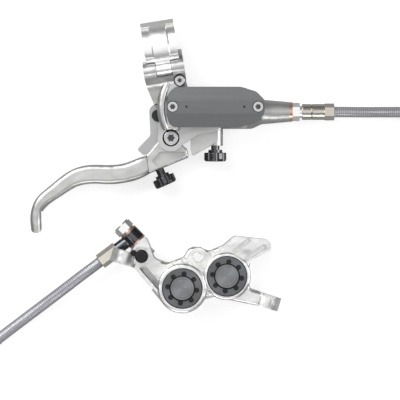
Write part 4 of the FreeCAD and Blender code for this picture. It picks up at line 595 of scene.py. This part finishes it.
def smooth_curve(name, spots, resolution):
    """Smooth spline whose control points are spots in metres."""
    curve = bpy.data.curves.new(name, "CURVE")
    curve.dimensions = "3D"
    curve.resolution_u = resolution
    spline = curve.splines.new("NURBS")
    spline.points.add(len(spots) - 1)
    for point, spot in zip(spline.points, spots):
        point.co = (*spot, 1.0)
    spline.order_u = 3
    spline.use_endpoint_u = True
    return curve


def bar_curve(name, spots, radius):
    """Smooth round bar along spots in metres."""
    curve = smooth_curve(name, spots, BAR_RESOLUTION)
    curve.bevel_depth = radius
    curve.bevel_resolution = BAR_ROUND_RESOLUTION
    curve.use_fill_caps = True
    return curve


def rounded_outline(corners, steps=5):
    """Points round a closed outline whose corners are given as x, y and the radius of their arc."""
    points = []
    for index, (x, y, radius) in enumerate(corners):
        corner = Vector((x, y))
        back = (Vector(corners[index - 1][:2]) - corner).normalized()
        ahead = (Vector(corners[(index + 1) % len(corners)][:2]) - corner).normalized()
        half = back.angle(ahead) / 2
        centre = corner + (back + ahead).normalized() * radius / math.sin(half)
        first, last = (corner + way * radius / math.tan(half) - centre for way in (back, ahead))
        start = math.atan2(first.y, first.x)
        turn = (math.atan2(last.y, last.x) - start + math.pi) % math.tau - math.pi
        for step in range(steps + 1):
            angle = start + turn * step / steps
            points.append((centre.x + radius * math.cos(angle), centre.y + radius * math.sin(angle)))
    return points


def circle_outline(x, y, radius, count):
    angles = [math.tau * step / count for step in range(count)]
    return [(x + radius * math.cos(angle), y + radius * math.sin(angle)) for angle in angles]


def plate_mesh(name, loops, thickness):
    """Flat plate between closed loops, the first its outline and the others holes."""
    curve = bpy.data.curves.new(name, "CURVE")
    curve.dimensions = "2D"
    curve.fill_mode = "BOTH"
    curve.extrude = thickness / 2
    for loop in loops:
        spline = curve.splines.new("POLY")
        spline.points.add(len(loop) - 1)
        for point, (x, y) in zip(spline.points, loop):
            point.co = (x, y, 0.0, 1.0)
        spline.use_cyclic_u = True
    return mesh_of(name, curve)


class StepOperator:
    bl_options = {"REGISTER", "UNDO"}


class BRAKE_OT_lever_housing(StepOperator, bpy.types.Operator):
    """Finish the master cylinder body, its bar strap and their fasteners"""
    bl_idname = "brake.lever_housing"
    bl_label = "Lever housing"

    def execute(self, context):
        edge, small = sizes().edge_round, sizes().small_edge_round
        # Painted shade in the seats round the heads of the pivot and the lock screw
        seat_shades = [painted_gap_shade("pivot_pin", sizes().pivot_ring), painted_gap_shade("hinge_lock_screw", sizes().screw_ring)]
        dress("master_cylinder_body", silver("Satin housing", shades=seat_shades), edge)
        strap = blasted("Polished strap", finishes().bright_silver, (0.26, 0.36), swell=0.3 * MM)
        dress("clamp_strap", strap, STRAP_ROUND * edge)
        for node in ("clamp_hinge_pin", "clamp_bolt"):
            dress(node, steel(), small)
        dress("hinge_lock_screw", turned_screw("Turned lock screw", "hinge_lock_screw"), small)
        return {"FINISHED"}


# Bead round the left end of the lid: middle of its arc, radius, end angles and height in the row frame, and
# the share of its thickness that it loses at its ends
BEAD_CENTRE = (15.65 * MM, 28.77 * MM)
BEAD_REACH = 25.8 * MM
BEAD_ANGLES = (149.0, 205.0)
BEAD_HEIGHT = 26.6 * MM
BEAD_STEPS = 15
BEAD_TAPER = 0.3


class BRAKE_OT_rim_bead(StepOperator, bpy.types.Operator):
    """Round bead of the housing along the left end of the lid"""
    bl_idname = "brake.rim_bead"
    bl_label = "Rim bead"

    def execute(self, context):
        first, last = BEAD_ANGLES
        shares = [step / (BEAD_STEPS - 1) for step in range(BEAD_STEPS)]
        angles = [math.radians(first + (last - first) * share) for share in shares]
        x, y = BEAD_CENTRE
        spots = [(x + BEAD_REACH * math.cos(angle), y + BEAD_REACH * math.sin(angle), BEAD_HEIGHT)
                 for angle in angles]
        curve = bar_curve("rim_bead", spots, sizes().bead_radius)
        for point, share in zip(curve.splines[0].points, shares):
            point.radius = 1.0 - BEAD_TAPER + BEAD_TAPER * math.sin(math.pi * share) ** 0.5
        curve.materials.append(silver())
        bead = add_object("rim_bead", curve)
        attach(bead, "chassis")
        return {"FINISHED"}


# Lid: its flat middle, the fall of its sides, its vents, and the corners of its ends. A corner is its
# distance from the end in millimetres, its share of half the width, and the radius of its arc in millimetres
LID_FLAT = 6.4 * MM
LID_FALL = 1.5 * MM
LID_VENT_INSET = 6.9 * MM
LID_VENT_RADIUS = 0.5 * MM
LID_RIGHT_LOW = ((12.0, -1.0, 4.0), (4.2, -0.76, 3.0))
LID_RIGHT_HIGH = ((0.0, -0.34, 4.0), (0.0, 0.34, 4.0), (4.2, 0.76, 3.0), (12.0, 1.0, 4.0))
LID_LEFT = ((4.6, 1.0, 5.0), (1.0, 0.72, 5.0), (0.0, 0.15, 8.0), (0.0, -0.3, 8.0), (0.8, -0.76, 5.0),
            (3.0, -1.0, 3.0))

# Closest that two points of a mesh stay apart, and the bend that still counts as flat
MERGE = 0.001 * MM
FLAT_BEND = math.radians(0.5)


def lid_outline(left, right, middle_y, half):
    """Rounded left end, and a right end that narrows in two steps."""
    corners = []
    for end, inward, group in ((right, -1, LID_RIGHT_HIGH), (left, 1, LID_LEFT), (right, -1, LID_RIGHT_LOW)):
        corners += [(end + inward * inset * MM, middle_y + share * half, radius * MM)
                    for inset, share, radius in group]
    return rounded_outline(corners)


def lid_plate(material):
    """Lid with a flat middle, falling sides, seats for its screws and two small vents."""
    lowest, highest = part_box("reservoir_lid")
    screw_low, screw_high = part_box("lid_screws")
    middle_y = (lowest[1] + highest[1]) / 2
    half = (highest[1] - lowest[1]) / 2
    head = (screw_high[1] - screw_low[1]) / 2
    loops = [lid_outline(lowest[0], highest[0], middle_y, half)]
    for screw_x, inward in ((screw_low[0] + head, 1), (screw_high[0] - head, -1)):
        loops.append(circle_outline(screw_x, middle_y, head + sizes().screw_ring, count=40))
        vent_x = screw_x + inward * LID_VENT_INSET
        loops.append(circle_outline(vent_x, middle_y, LID_VENT_RADIUS, count=16))
    mesh = plate_mesh("lid_plate", loops, highest[2] - lowest[2])
    form = bmesh.new()
    form.from_mesh(mesh)
    bmesh.ops.remove_doubles(form, verts=form.verts, dist=MERGE)
    for side in (-1, 1):
        bmesh.ops.bisect_plane(form, geom=[*form.verts, *form.edges, *form.faces], dist=MERGE,
                               plane_co=(0, middle_y + side * LID_FLAT / 2, 0), plane_no=(0, 1, 0))
    for vertex in form.verts:
        past_flat = max(abs(vertex.co.y - middle_y) - LID_FLAT / 2, 0.0)
        fall = past_flat / (half - LID_FLAT / 2) * LID_FALL
        vertex.co.z = highest[2] - fall if vertex.co.z > 0 else lowest[2]
    bmesh.ops.dissolve_limit(form, angle_limit=FLAT_BEND, verts=form.verts, edges=form.edges)
    bmesh.ops.recalc_face_normals(form, faces=form.faces)
    form.to_mesh(mesh)
    form.free()
    plate = add_mesh("lid_plate", mesh, material)
    round_edges(plate, sizes().edge_round)
    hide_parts("reservoir_lid")
    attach(plate, "chassis")


class BRAKE_OT_reservoir_cover(StepOperator, bpy.types.Operator):
    """Finish the reservoir's lid, its screws and the diaphragm under it"""
    bl_idname = "brake.reservoir_cover"
    bl_label = "Reservoir cover"

    def execute(self, context):
        values = grain_values(finishes().lid_grey, shade=0.85, rough=(0.48, 0.62))
        lid_plate(surface("Brushed lid", "Brushed grain", values, metallic=0.8, bump=0.1, depth=0.03 * MM))
        # The lid screws carry painted shade in their drive recesses
        dress("lid_screws", steel("Lid screws", shades=[painted_drive_shade("lid_screws")]), sizes().small_edge_round)
        dress("reservoir_diaphragm", black_rubber())
        return {"FINISHED"}


class BRAKE_OT_lever(StepOperator, bpy.types.Operator):
    """Finish the blade, its bushes, the actuator arm and the pivot"""
    bl_idname = "brake.lever"
    bl_label = "Lever"

    def execute(self, context):
        edge, small = sizes().edge_round, sizes().small_edge_round
        dress("lever_blade", silver(), edge)
        dress("actuator_arm", blasted("Satin arm", finishes().arm_grey, (0.3, 0.42)), edge)
        dress("pivot_pin", turned_screw("Turned pivot", "pivot_pin"), small)
        dress("pivot_bushes", blasted("Moulded bush", finishes().dark_steel, (0.4, 0.55), metallic=0.0))
        return {"FINISHED"}


class BRAKE_OT_adjusters(StepOperator, bpy.types.Operator):
    """Finish the bite point and reach knobs"""
    bl_idname = "brake.adjusters"
    bl_label = "Adjuster knobs"

    def execute(self, context):
        black = blasted("Dark plated knob", finishes().knob_black, (0.16, 0.28), grain=2000.0)
        for node in ("bite_point_knob", "reach_knob"):
            dress(node, black, sizes().small_edge_round)
        return {"FINISHED"}


# Return spring: its wire, turns, and points for each turn
SPRING_WIRE = 0.9 * MM
SPRING_TURNS = 6
SPRING_STEPS = 12


def wound_spring():
    """Return spring wound along the bore at its rest length."""
    lowest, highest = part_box("return_spring")
    y, z = ((lowest[axis] + highest[axis]) / 2 for axis in (1, 2))
    rest = highest[0] - lowest[0]
    wire = SPRING_WIRE / 2
    reach = ((highest[2] - lowest[2]) / 2 - wire) / math.cos(math.pi / SPRING_STEPS)
    count = SPRING_TURNS * SPRING_STEPS
    spots = []
    for step in range(count + 1):
        angle = math.tau * step / SPRING_STEPS
        x = lowest[0] + wire + (rest - 2 * wire) * step / count
        spots.append((x, y + reach * math.cos(angle), z + reach * math.sin(angle)))
    mesh = mesh_of("wound_spring", bar_curve("wound_spring", spots, wire))
    spring = add_mesh("wound_spring", mesh, steel())
    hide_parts("return_spring")
    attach(spring, "chassis")
    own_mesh(spring)


class BRAKE_OT_piston_train(StepOperator, bpy.types.Operator):
    """Finish the push rod, master piston, seals and spring inside the cylinder"""
    bl_idname = "brake.piston_train"
    bl_label = "Piston train"

    def execute(self, context):
        dress("push_rod_barrel", dark_steel(), sizes().small_edge_round)
        dress("push_rod", steel())
        dress("master_piston", blasted("Dark piston", finishes().cap_grey, (0.28, 0.4)))
        for node in ("rear_seal", "front_seal"):
            dress(node, black_rubber())
        dress("piston_circlip", steel())
        wound_spring()
        return {"FINISHED"}


class BRAKE_OT_hose_fittings(StepOperator, bpy.types.Operator):
    """Finish the union, its copper washer and the hose nut"""
    bl_idname = "brake.hose_fittings"
    bl_label = "Hose fittings"

    def execute(self, context):
        small = sizes().small_edge_round
        plated = blasted("Plated sleeve", finishes().sleeve, (0.2, 0.28), bump=0.01, grain=FINE_GRAIN)
        dress("union_washer", copper(), small)
        dress("hose_union", bright_fitting(), small)
        dress("hose_nut", plated, small)
        return {"FINISHED"}


class BRAKE_OT_caliper(StepOperator, bpy.types.Operator):
    """Finish the caliper body and its bore caps"""
    bl_idname = "brake.caliper"
    bl_label = "Caliper"

    def execute(self, context):
        tones = finishes()
        # The caliper's paler silver is painted light on the same satin as the lever
        satin = blasted("Pale satin caliper", tones.caliper_silver, (0.3, 0.42), shade=0.68, swell=0.9 * MM)
        dress("caliper_body", satin, CALIPER_ROUND * sizes().edge_round)
        for side in ("left", "right"):
            cap = f"{side}_bore_cap"
            # Each cap carries painted shadow at its seam and at the wall of its disc, and painted shade in
            # its notches
            values = {"Disc": tuple(tones.cap_grey), "Rim": tuple(tones.cap_ring),
                      "Shadow": tuple(tones.shadow), "Low": 0.26, "High": 0.4, "Top": top_of(cap),
                      **middle(cap)}
            face = surface(f"Notched {side} cap", "Notched cap", values, metallic=1.0, bump=0.15,
                           depth=0.03 * MM)
            dress(cap, round_the_axis(face, share=0.75), sizes().small_edge_round)
            dress(f"{side}_cap_seal", black_rubber())
        return {"FINISHED"}


class BRAKE_OT_pads(StepOperator, bpy.types.Operator):
    """Finish the pistons, seals, pads, pad pin and pad spring"""
    bl_idname = "brake.pads"
    bl_label = "Pistons and pads"

    def execute(self, context):
        small = sizes().small_edge_round
        phenolic = blasted("Phenolic piston", finishes().phenolic, (0.4, 0.55), metallic=0.0, grain=1400.0)
        friction = blasted("Sintered friction", finishes().friction, (0.7, 0.9), metallic=0.3, bump=0.5,
                           depth=0.2 * MM, grain=1300.0, shade=0.6)
        for set_name in ("outboard", "inboard"):
            for side in ("left", "right"):
                dress(f"{set_name}_{side}_piston", phenolic)
            dress(f"{set_name}_piston_seals", black_rubber())
            dress(f"{set_name}_pad_backing", steel(), small)
            dress(f"{set_name}_pad_friction", friction, small)
        dress("pad_pin", blasted("Bright pad pin", finishes().bright_silver, (0.3, 0.4), bump=0.01))
        dress("pad_spring", steel())
        return {"FINISHED"}


class BRAKE_OT_banjo_and_bleed(StepOperator, bpy.types.Operator):
    """Finish the banjo, its bolt, washers and ferrule, and the bleed nipple with its cap"""
    bl_idname = "brake.banjo_and_bleed"
    bl_label = "Banjo and bleed nipple"

    def execute(self, context):
        small = sizes().small_edge_round
        dress("banjo_washers", copper(), small)
        dress("banjo_bolt", bright_fitting(), small)
        polished = blasted("Polished dark banjo", finishes().banjo_dark, (0.12, 0.2))
        dress("banjo", polished, sizes().banjo_round)
        dress("hose_ferrule", blasted("Crimped ferrule", finishes().ferrule_cream, (0.3, 0.4)), small)
        dress("bleed_nipple", steel(), small)
        dress("bleed_cap", black_rubber(), sizes().edge_round)
        return {"FINISHED"}


# Hose, in millimetres of the row frame: its coil, the turns where it rises by one hose and how much of a turn
# that takes, the height of its middle on the table, and the points of its line and sides of its tube
COIL_CENTRE = (143.0, 0.0)
COIL_RADIUS = 27.0
COIL_STEPS = 16
COIL_TURNS = 2.25
RISE_STARTS = (0.55, 1.55)
RISE_TURN = 0.3
HOSE_REST = 2.65
HOSE_RESOLUTION = 10
HOSE_SIDES = 20

# Tie at the near side of the coil: the turns in it, and its sizes in millimetres
TIED_TURNS = 2
TIE_WIDTH = 5.0
TIE_THICKNESS = 0.7
TIE_CORNER = 2.4


def coil_points():
    """Points round the coil from its top, a little outside it so that the smoothed hose runs on it."""
    step = -math.radians(360.0 / COIL_STEPS)
    reach = COIL_RADIUS / (0.5 + 0.5 * math.cos(step) ** 0.5)
    points = []
    for index in range(round(COIL_STEPS * COIL_TURNS)):
        angle = math.pi / 2 + step * (index + 0.5)
        points.append((COIL_CENTRE[0] + reach * math.cos(angle), COIL_CENTRE[1] + reach * math.sin(angle),
                       coil_lift((index + 0.5) / COIL_STEPS)))
    return points


def coil_lift(turn):
    """Height of the hose in its coil: flat turns with a rise of one hose between them."""
    lift = HOSE_REST
    for start in RISE_STARTS:
        share = min(max((turn - start) / RISE_TURN, 0.0), 1.0)
        lift += 2 * HOSE_REST * share * share * (3 - 2 * share)
    return lift


def hose_route():
    """Route from the nut to the ferrule: the turns of the coil, and points given one by one along the runs.
    """
    right = COIL_CENTRE[0] + COIL_RADIUS
    route = [(73.415, 27.0, 8.5), (79.9, 27.0, 8.5), (91.0, 26.9, 7.5), (104.0, 27.05, 4.2),
             (117.0, 27.1, 2.7), (130.0, 26.9, HOSE_REST)]
    route += coil_points()
    route += [(right + 0.3, -16.0, 12.6), (right - 0.2, -34.0, 9.4), (right + 0.3, -52.0, 5.0),
              (right - 0.2, -74.0, 2.7), (right, -135.0, HOSE_REST), (108.0, -134.8, HOSE_REST),
              (68.0, -135.2, HOSE_REST), (28.0, -134.7, HOSE_REST), (-12.0, -135.2, HOSE_REST),
              (-52.0, -134.8, HOSE_REST), (-93.5, -135.0, HOSE_REST), (-107.3, -98.3, HOSE_REST),
              (-74.5, -73.45, 3.0), (-60.1, -62.6, 6.2), (-49.7, -54.6, 8.6), (-44.7, -50.95, 9.0),
              (-41.245, -48.33, 9.0)]
    return [tuple(value * MM for value in spot) for spot in route]


def smooth_line(route):
    """Points read from the smooth spline whose control points are a route."""
    mesh = mesh_of("Hose line", smooth_curve("Hose line", route, HOSE_RESOLUTION))
    line = [tuple(vertex.co) for vertex in mesh.vertices]
    bpy.data.meshes.remove(mesh)
    return line


def hose_mesh(name, line, radius):
    """Round tube along a line, whose coordinates are the share of its length and the share of a turn."""
    spots = [Vector(spot) for spot in line]
    runs = [0.0]
    for before, after in zip(spots, spots[1:]):
        runs.append(runs[-1] + (after - before).length)
    turns = [math.tau * step / HOSE_SIDES for step in range(HOSE_SIDES)]
    form = bmesh.new()
    marks = form.loops.layers.uv.new("UVMap")
    rings = []
    for index, spot in enumerate(spots):
        heading = (spots[min(index + 1, len(spots) - 1)] - spots[max(index - 1, 0)]).normalized()
        side = heading.cross(Vector((0, 0, 1))).normalized()
        up = side.cross(heading)
        ways = [side * math.cos(turn) + up * math.sin(turn) for turn in turns]
        rings.append([form.verts.new(spot + way * radius) for way in ways])
    for index in range(len(rings) - 1):
        for step in range(HOSE_SIDES):
            corners = ((index, step), (index, step + 1), (index + 1, step + 1), (index + 1, step))
            face = form.faces.new([rings[ring][turn % HOSE_SIDES] for ring, turn in corners])
            face.smooth = True
            for loop, (ring, turn) in zip(face.loops, corners):
                loop[marks].uv = (runs[ring] / runs[-1], turn / HOSE_SIDES)
    for ring in (rings[0], rings[-1]):
        form.faces.new(ring)
    bmesh.ops.recalc_face_normals(form, faces=form.faces)
    mesh = bpy.data.meshes.new(name)
    form.to_mesh(mesh)
    form.free()
    return mesh


def coil_tie():
    """Soft band pulled tight round the turns of the coil."""
    half = HOSE_REST + TIE_THICKNESS
    top = TIED_TURNS * 2 * HOSE_REST + TIE_THICKNESS
    loops = []
    for inset in (0.0, TIE_THICKNESS):
        across, low, high = half - inset, inset, top - inset
        corner = TIE_CORNER - inset
        corners = [(across, low), (across, high), (-across, high), (-across, low)]
        loops.append(rounded_outline([(y * MM, z * MM, corner * MM) for y, z in corners]))
    soft = blasted("Soft tie", finishes().rubber_black, (0.6, 0.8), metallic=0.0, bump=0.4, grain=1500.0,
                   Sheen_Weight=0.3)
    tie = add_mesh("coil_tie", plate_mesh("coil_tie", loops, TIE_WIDTH * MM), soft)
    tie.location = (COIL_CENTRE[0] * MM, (COIL_CENTRE[1] - COIL_RADIUS) * MM, 0.0)
    tie.rotation_euler = (math.pi / 2, 0.0, math.pi / 2)
    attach(tie, "chassis")
    return tie


class BRAKE_OT_hose(StepOperator, bpy.types.Operator):
    """Lay the braided hose from the lever unit through its tied coil to the caliper"""
    bl_idname = "brake.hose"
    bl_label = "Hose"

    def execute(self, context):
        route = hose_route()
        line = smooth_line(route)
        values = {"Strand": tuple(finishes().braid_light), "Gap": tuple(finishes().braid_dark)}
        braid = surface("Braided hose", "Hose braid", values, metallic=0.5, bump=0.4, depth=0.2 * MM,
                        Roughness=0.34, Coat_Weight=0.5, Coat_Roughness=0.15)
        hose = add_mesh("braided_hose", hose_mesh("braided_hose", line, sizes().hose_diameter / 2), braid)
        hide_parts("hose_lever_run", "hose_coil", "hose_caliper_run")
        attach(hose, "chassis")
        coil_tie()
        return {"FINISHED"}


# Middle of the picture, the width that it takes in and the height over the table where it does, and the
# camera's distance from there, how far it sees, and its sensor in millimetres
VIEW_CENTRE = (0.00892, -0.01730)
VIEW_WIDTH = 0.200
VIEW_HEIGHT = 0.018
CAMERA_DISTANCE = 1.5
CAMERA_REACH = 20.0
SENSOR_WIDTH = 36.0

# Soft panels over the table: name, place from the middle of the picture, width and height, power
LIGHTS = (("Sky panel", (0.0, 0.1, 1.9), (1.4, 1.4), 6.0),
          ("Key panel", (-0.6, 0.7, 0.9), (0.9, 0.9), 13.5),
          ("Side panel", (0.9, 0.1, 0.6), (0.4, 0.8), 5.0),
          ("Low panel", (-0.1, -0.9, 0.6), (0.8, 0.35), 4.5))
ROOM_LIGHT = 0.2
WHITE = (1.0, 1.0, 1.0, 1.0)

# Floor: half its width, its drop under the hose, and an even light in it that only the camera sees, which
# keeps the shadows on it faint
FLOOR_HALF = 1.6
FLOOR_DROP = 0.2 * MM
FLOOR_GLOW = 0.72


def pale_floor():
    corners = [(-FLOOR_HALF, -FLOOR_HALF, 0), (FLOOR_HALF, -FLOOR_HALF, 0), (FLOOR_HALF, FLOOR_HALF, 0),
               (-FLOOR_HALF, FLOOR_HALF, 0)]
    mesh = bpy.data.meshes.new("Floor")
    mesh.from_pydata(corners, [], [(0, 1, 2, 3)])
    pale = blasted("Pale floor", finishes().floor, (0.6, 0.7), metallic=0.0, bump=0.02, grain=900.0,
                   shade=0.995, Emission_Color=WHITE)
    tree = pale.node_tree
    seen = tree.nodes.new("ShaderNodeLightPath").outputs["Is Camera Ray"]
    glow = math_node(tree, "MULTIPLY", seen, FLOOR_GLOW)
    tree.links.new(glow, tree.nodes["Principled BSDF"].inputs["Emission Strength"])
    floor = add_mesh("Floor", mesh, pale)
    floor.location.z = -FLOOR_DROP
    return floor


def area_light(name, spot, target, width, height, power):
    data = bpy.data.lights.new(name, "AREA")
    data.shape = "RECTANGLE"
    data.size = width
    data.size_y = height
    data.energy = power
    light = add_object(name, data)
    light.location = spot
    light.rotation_euler = (Vector(target) - Vector(spot)).to_track_quat("-Z", "Y").to_euler()
    return light


def soft_room():
    world = bpy.data.worlds.new("Soft room")
    world.use_nodes = True
    background = world.node_tree.nodes["Background"]
    background.inputs["Color"].default_value = WHITE
    background.inputs["Strength"].default_value = ROOM_LIGHT
    return world


class BRAKE_OT_stage(StepOperator, bpy.types.Operator):
    """Set the pale floor, the soft lights and the camera"""
    bl_idname = "brake.stage"
    bl_label = "Stage"

    def execute(self, context):
        pale_floor()
        x, y = VIEW_CENTRE
        for name, (right, up, height), panel, power in LIGHTS:
            area_light(name, (x + right, y + up, height), (x, y, 0.0), *panel, power)
        context.scene.world = soft_room()
        context.scene.view_settings.view_transform = "Standard"

        data = bpy.data.cameras.new("Camera")
        data.sensor_width = SENSOR_WIDTH
        data.lens = SENSOR_WIDTH * CAMERA_DISTANCE / VIEW_WIDTH
        data.clip_end = CAMERA_REACH
        camera = add_object("Camera", data)
        camera.location = (x, y, VIEW_HEIGHT + CAMERA_DISTANCE)
        context.scene.camera = camera
        return {"FINISHED"}


STEPS = (BRAKE_OT_lever_housing, BRAKE_OT_rim_bead, BRAKE_OT_reservoir_cover, BRAKE_OT_lever,
         BRAKE_OT_adjusters, BRAKE_OT_piston_train, BRAKE_OT_hose_fittings, BRAKE_OT_caliper, BRAKE_OT_pads,
         BRAKE_OT_banjo_and_bleed, BRAKE_OT_hose, BRAKE_OT_stage)


class BRAKE_PT_steps(bpy.types.Panel):
    """Steps that dress the brake"""
    bl_idname = "BRAKE_PT_steps"
    bl_label = "Disc brake"
    bl_space_type = "VIEW_3D"
    bl_region_type = "UI"
    bl_category = "Brake"

    def draw(self, context):
        for group in (context.scene.brake_finishes, context.scene.brake_sizes):
            box = self.layout.box()
            for key in group.__annotations__:
                box.prop(group, key)
        for step in STEPS:
            self.layout.operator(step.bl_idname)


CLASSES = (BrakeFinishes, BrakeSizes, *STEPS, BRAKE_PT_steps)


def register():
    for cls in CLASSES:
        bpy.utils.register_class(cls)
    bpy.types.Scene.brake_finishes = PointerProperty(type=BrakeFinishes)
    bpy.types.Scene.brake_sizes = PointerProperty(type=BrakeSizes)


def unregister():
    del bpy.types.Scene.brake_sizes
    del bpy.types.Scene.brake_finishes
    for cls in reversed(CLASSES):
        bpy.utils.unregister_class(cls)


def main():
    register()
    for step in STEPS:
        area, name = step.bl_idname.split(".")
        getattr(getattr(bpy.ops, area), name)()


if __name__ == "__main__":
    main()
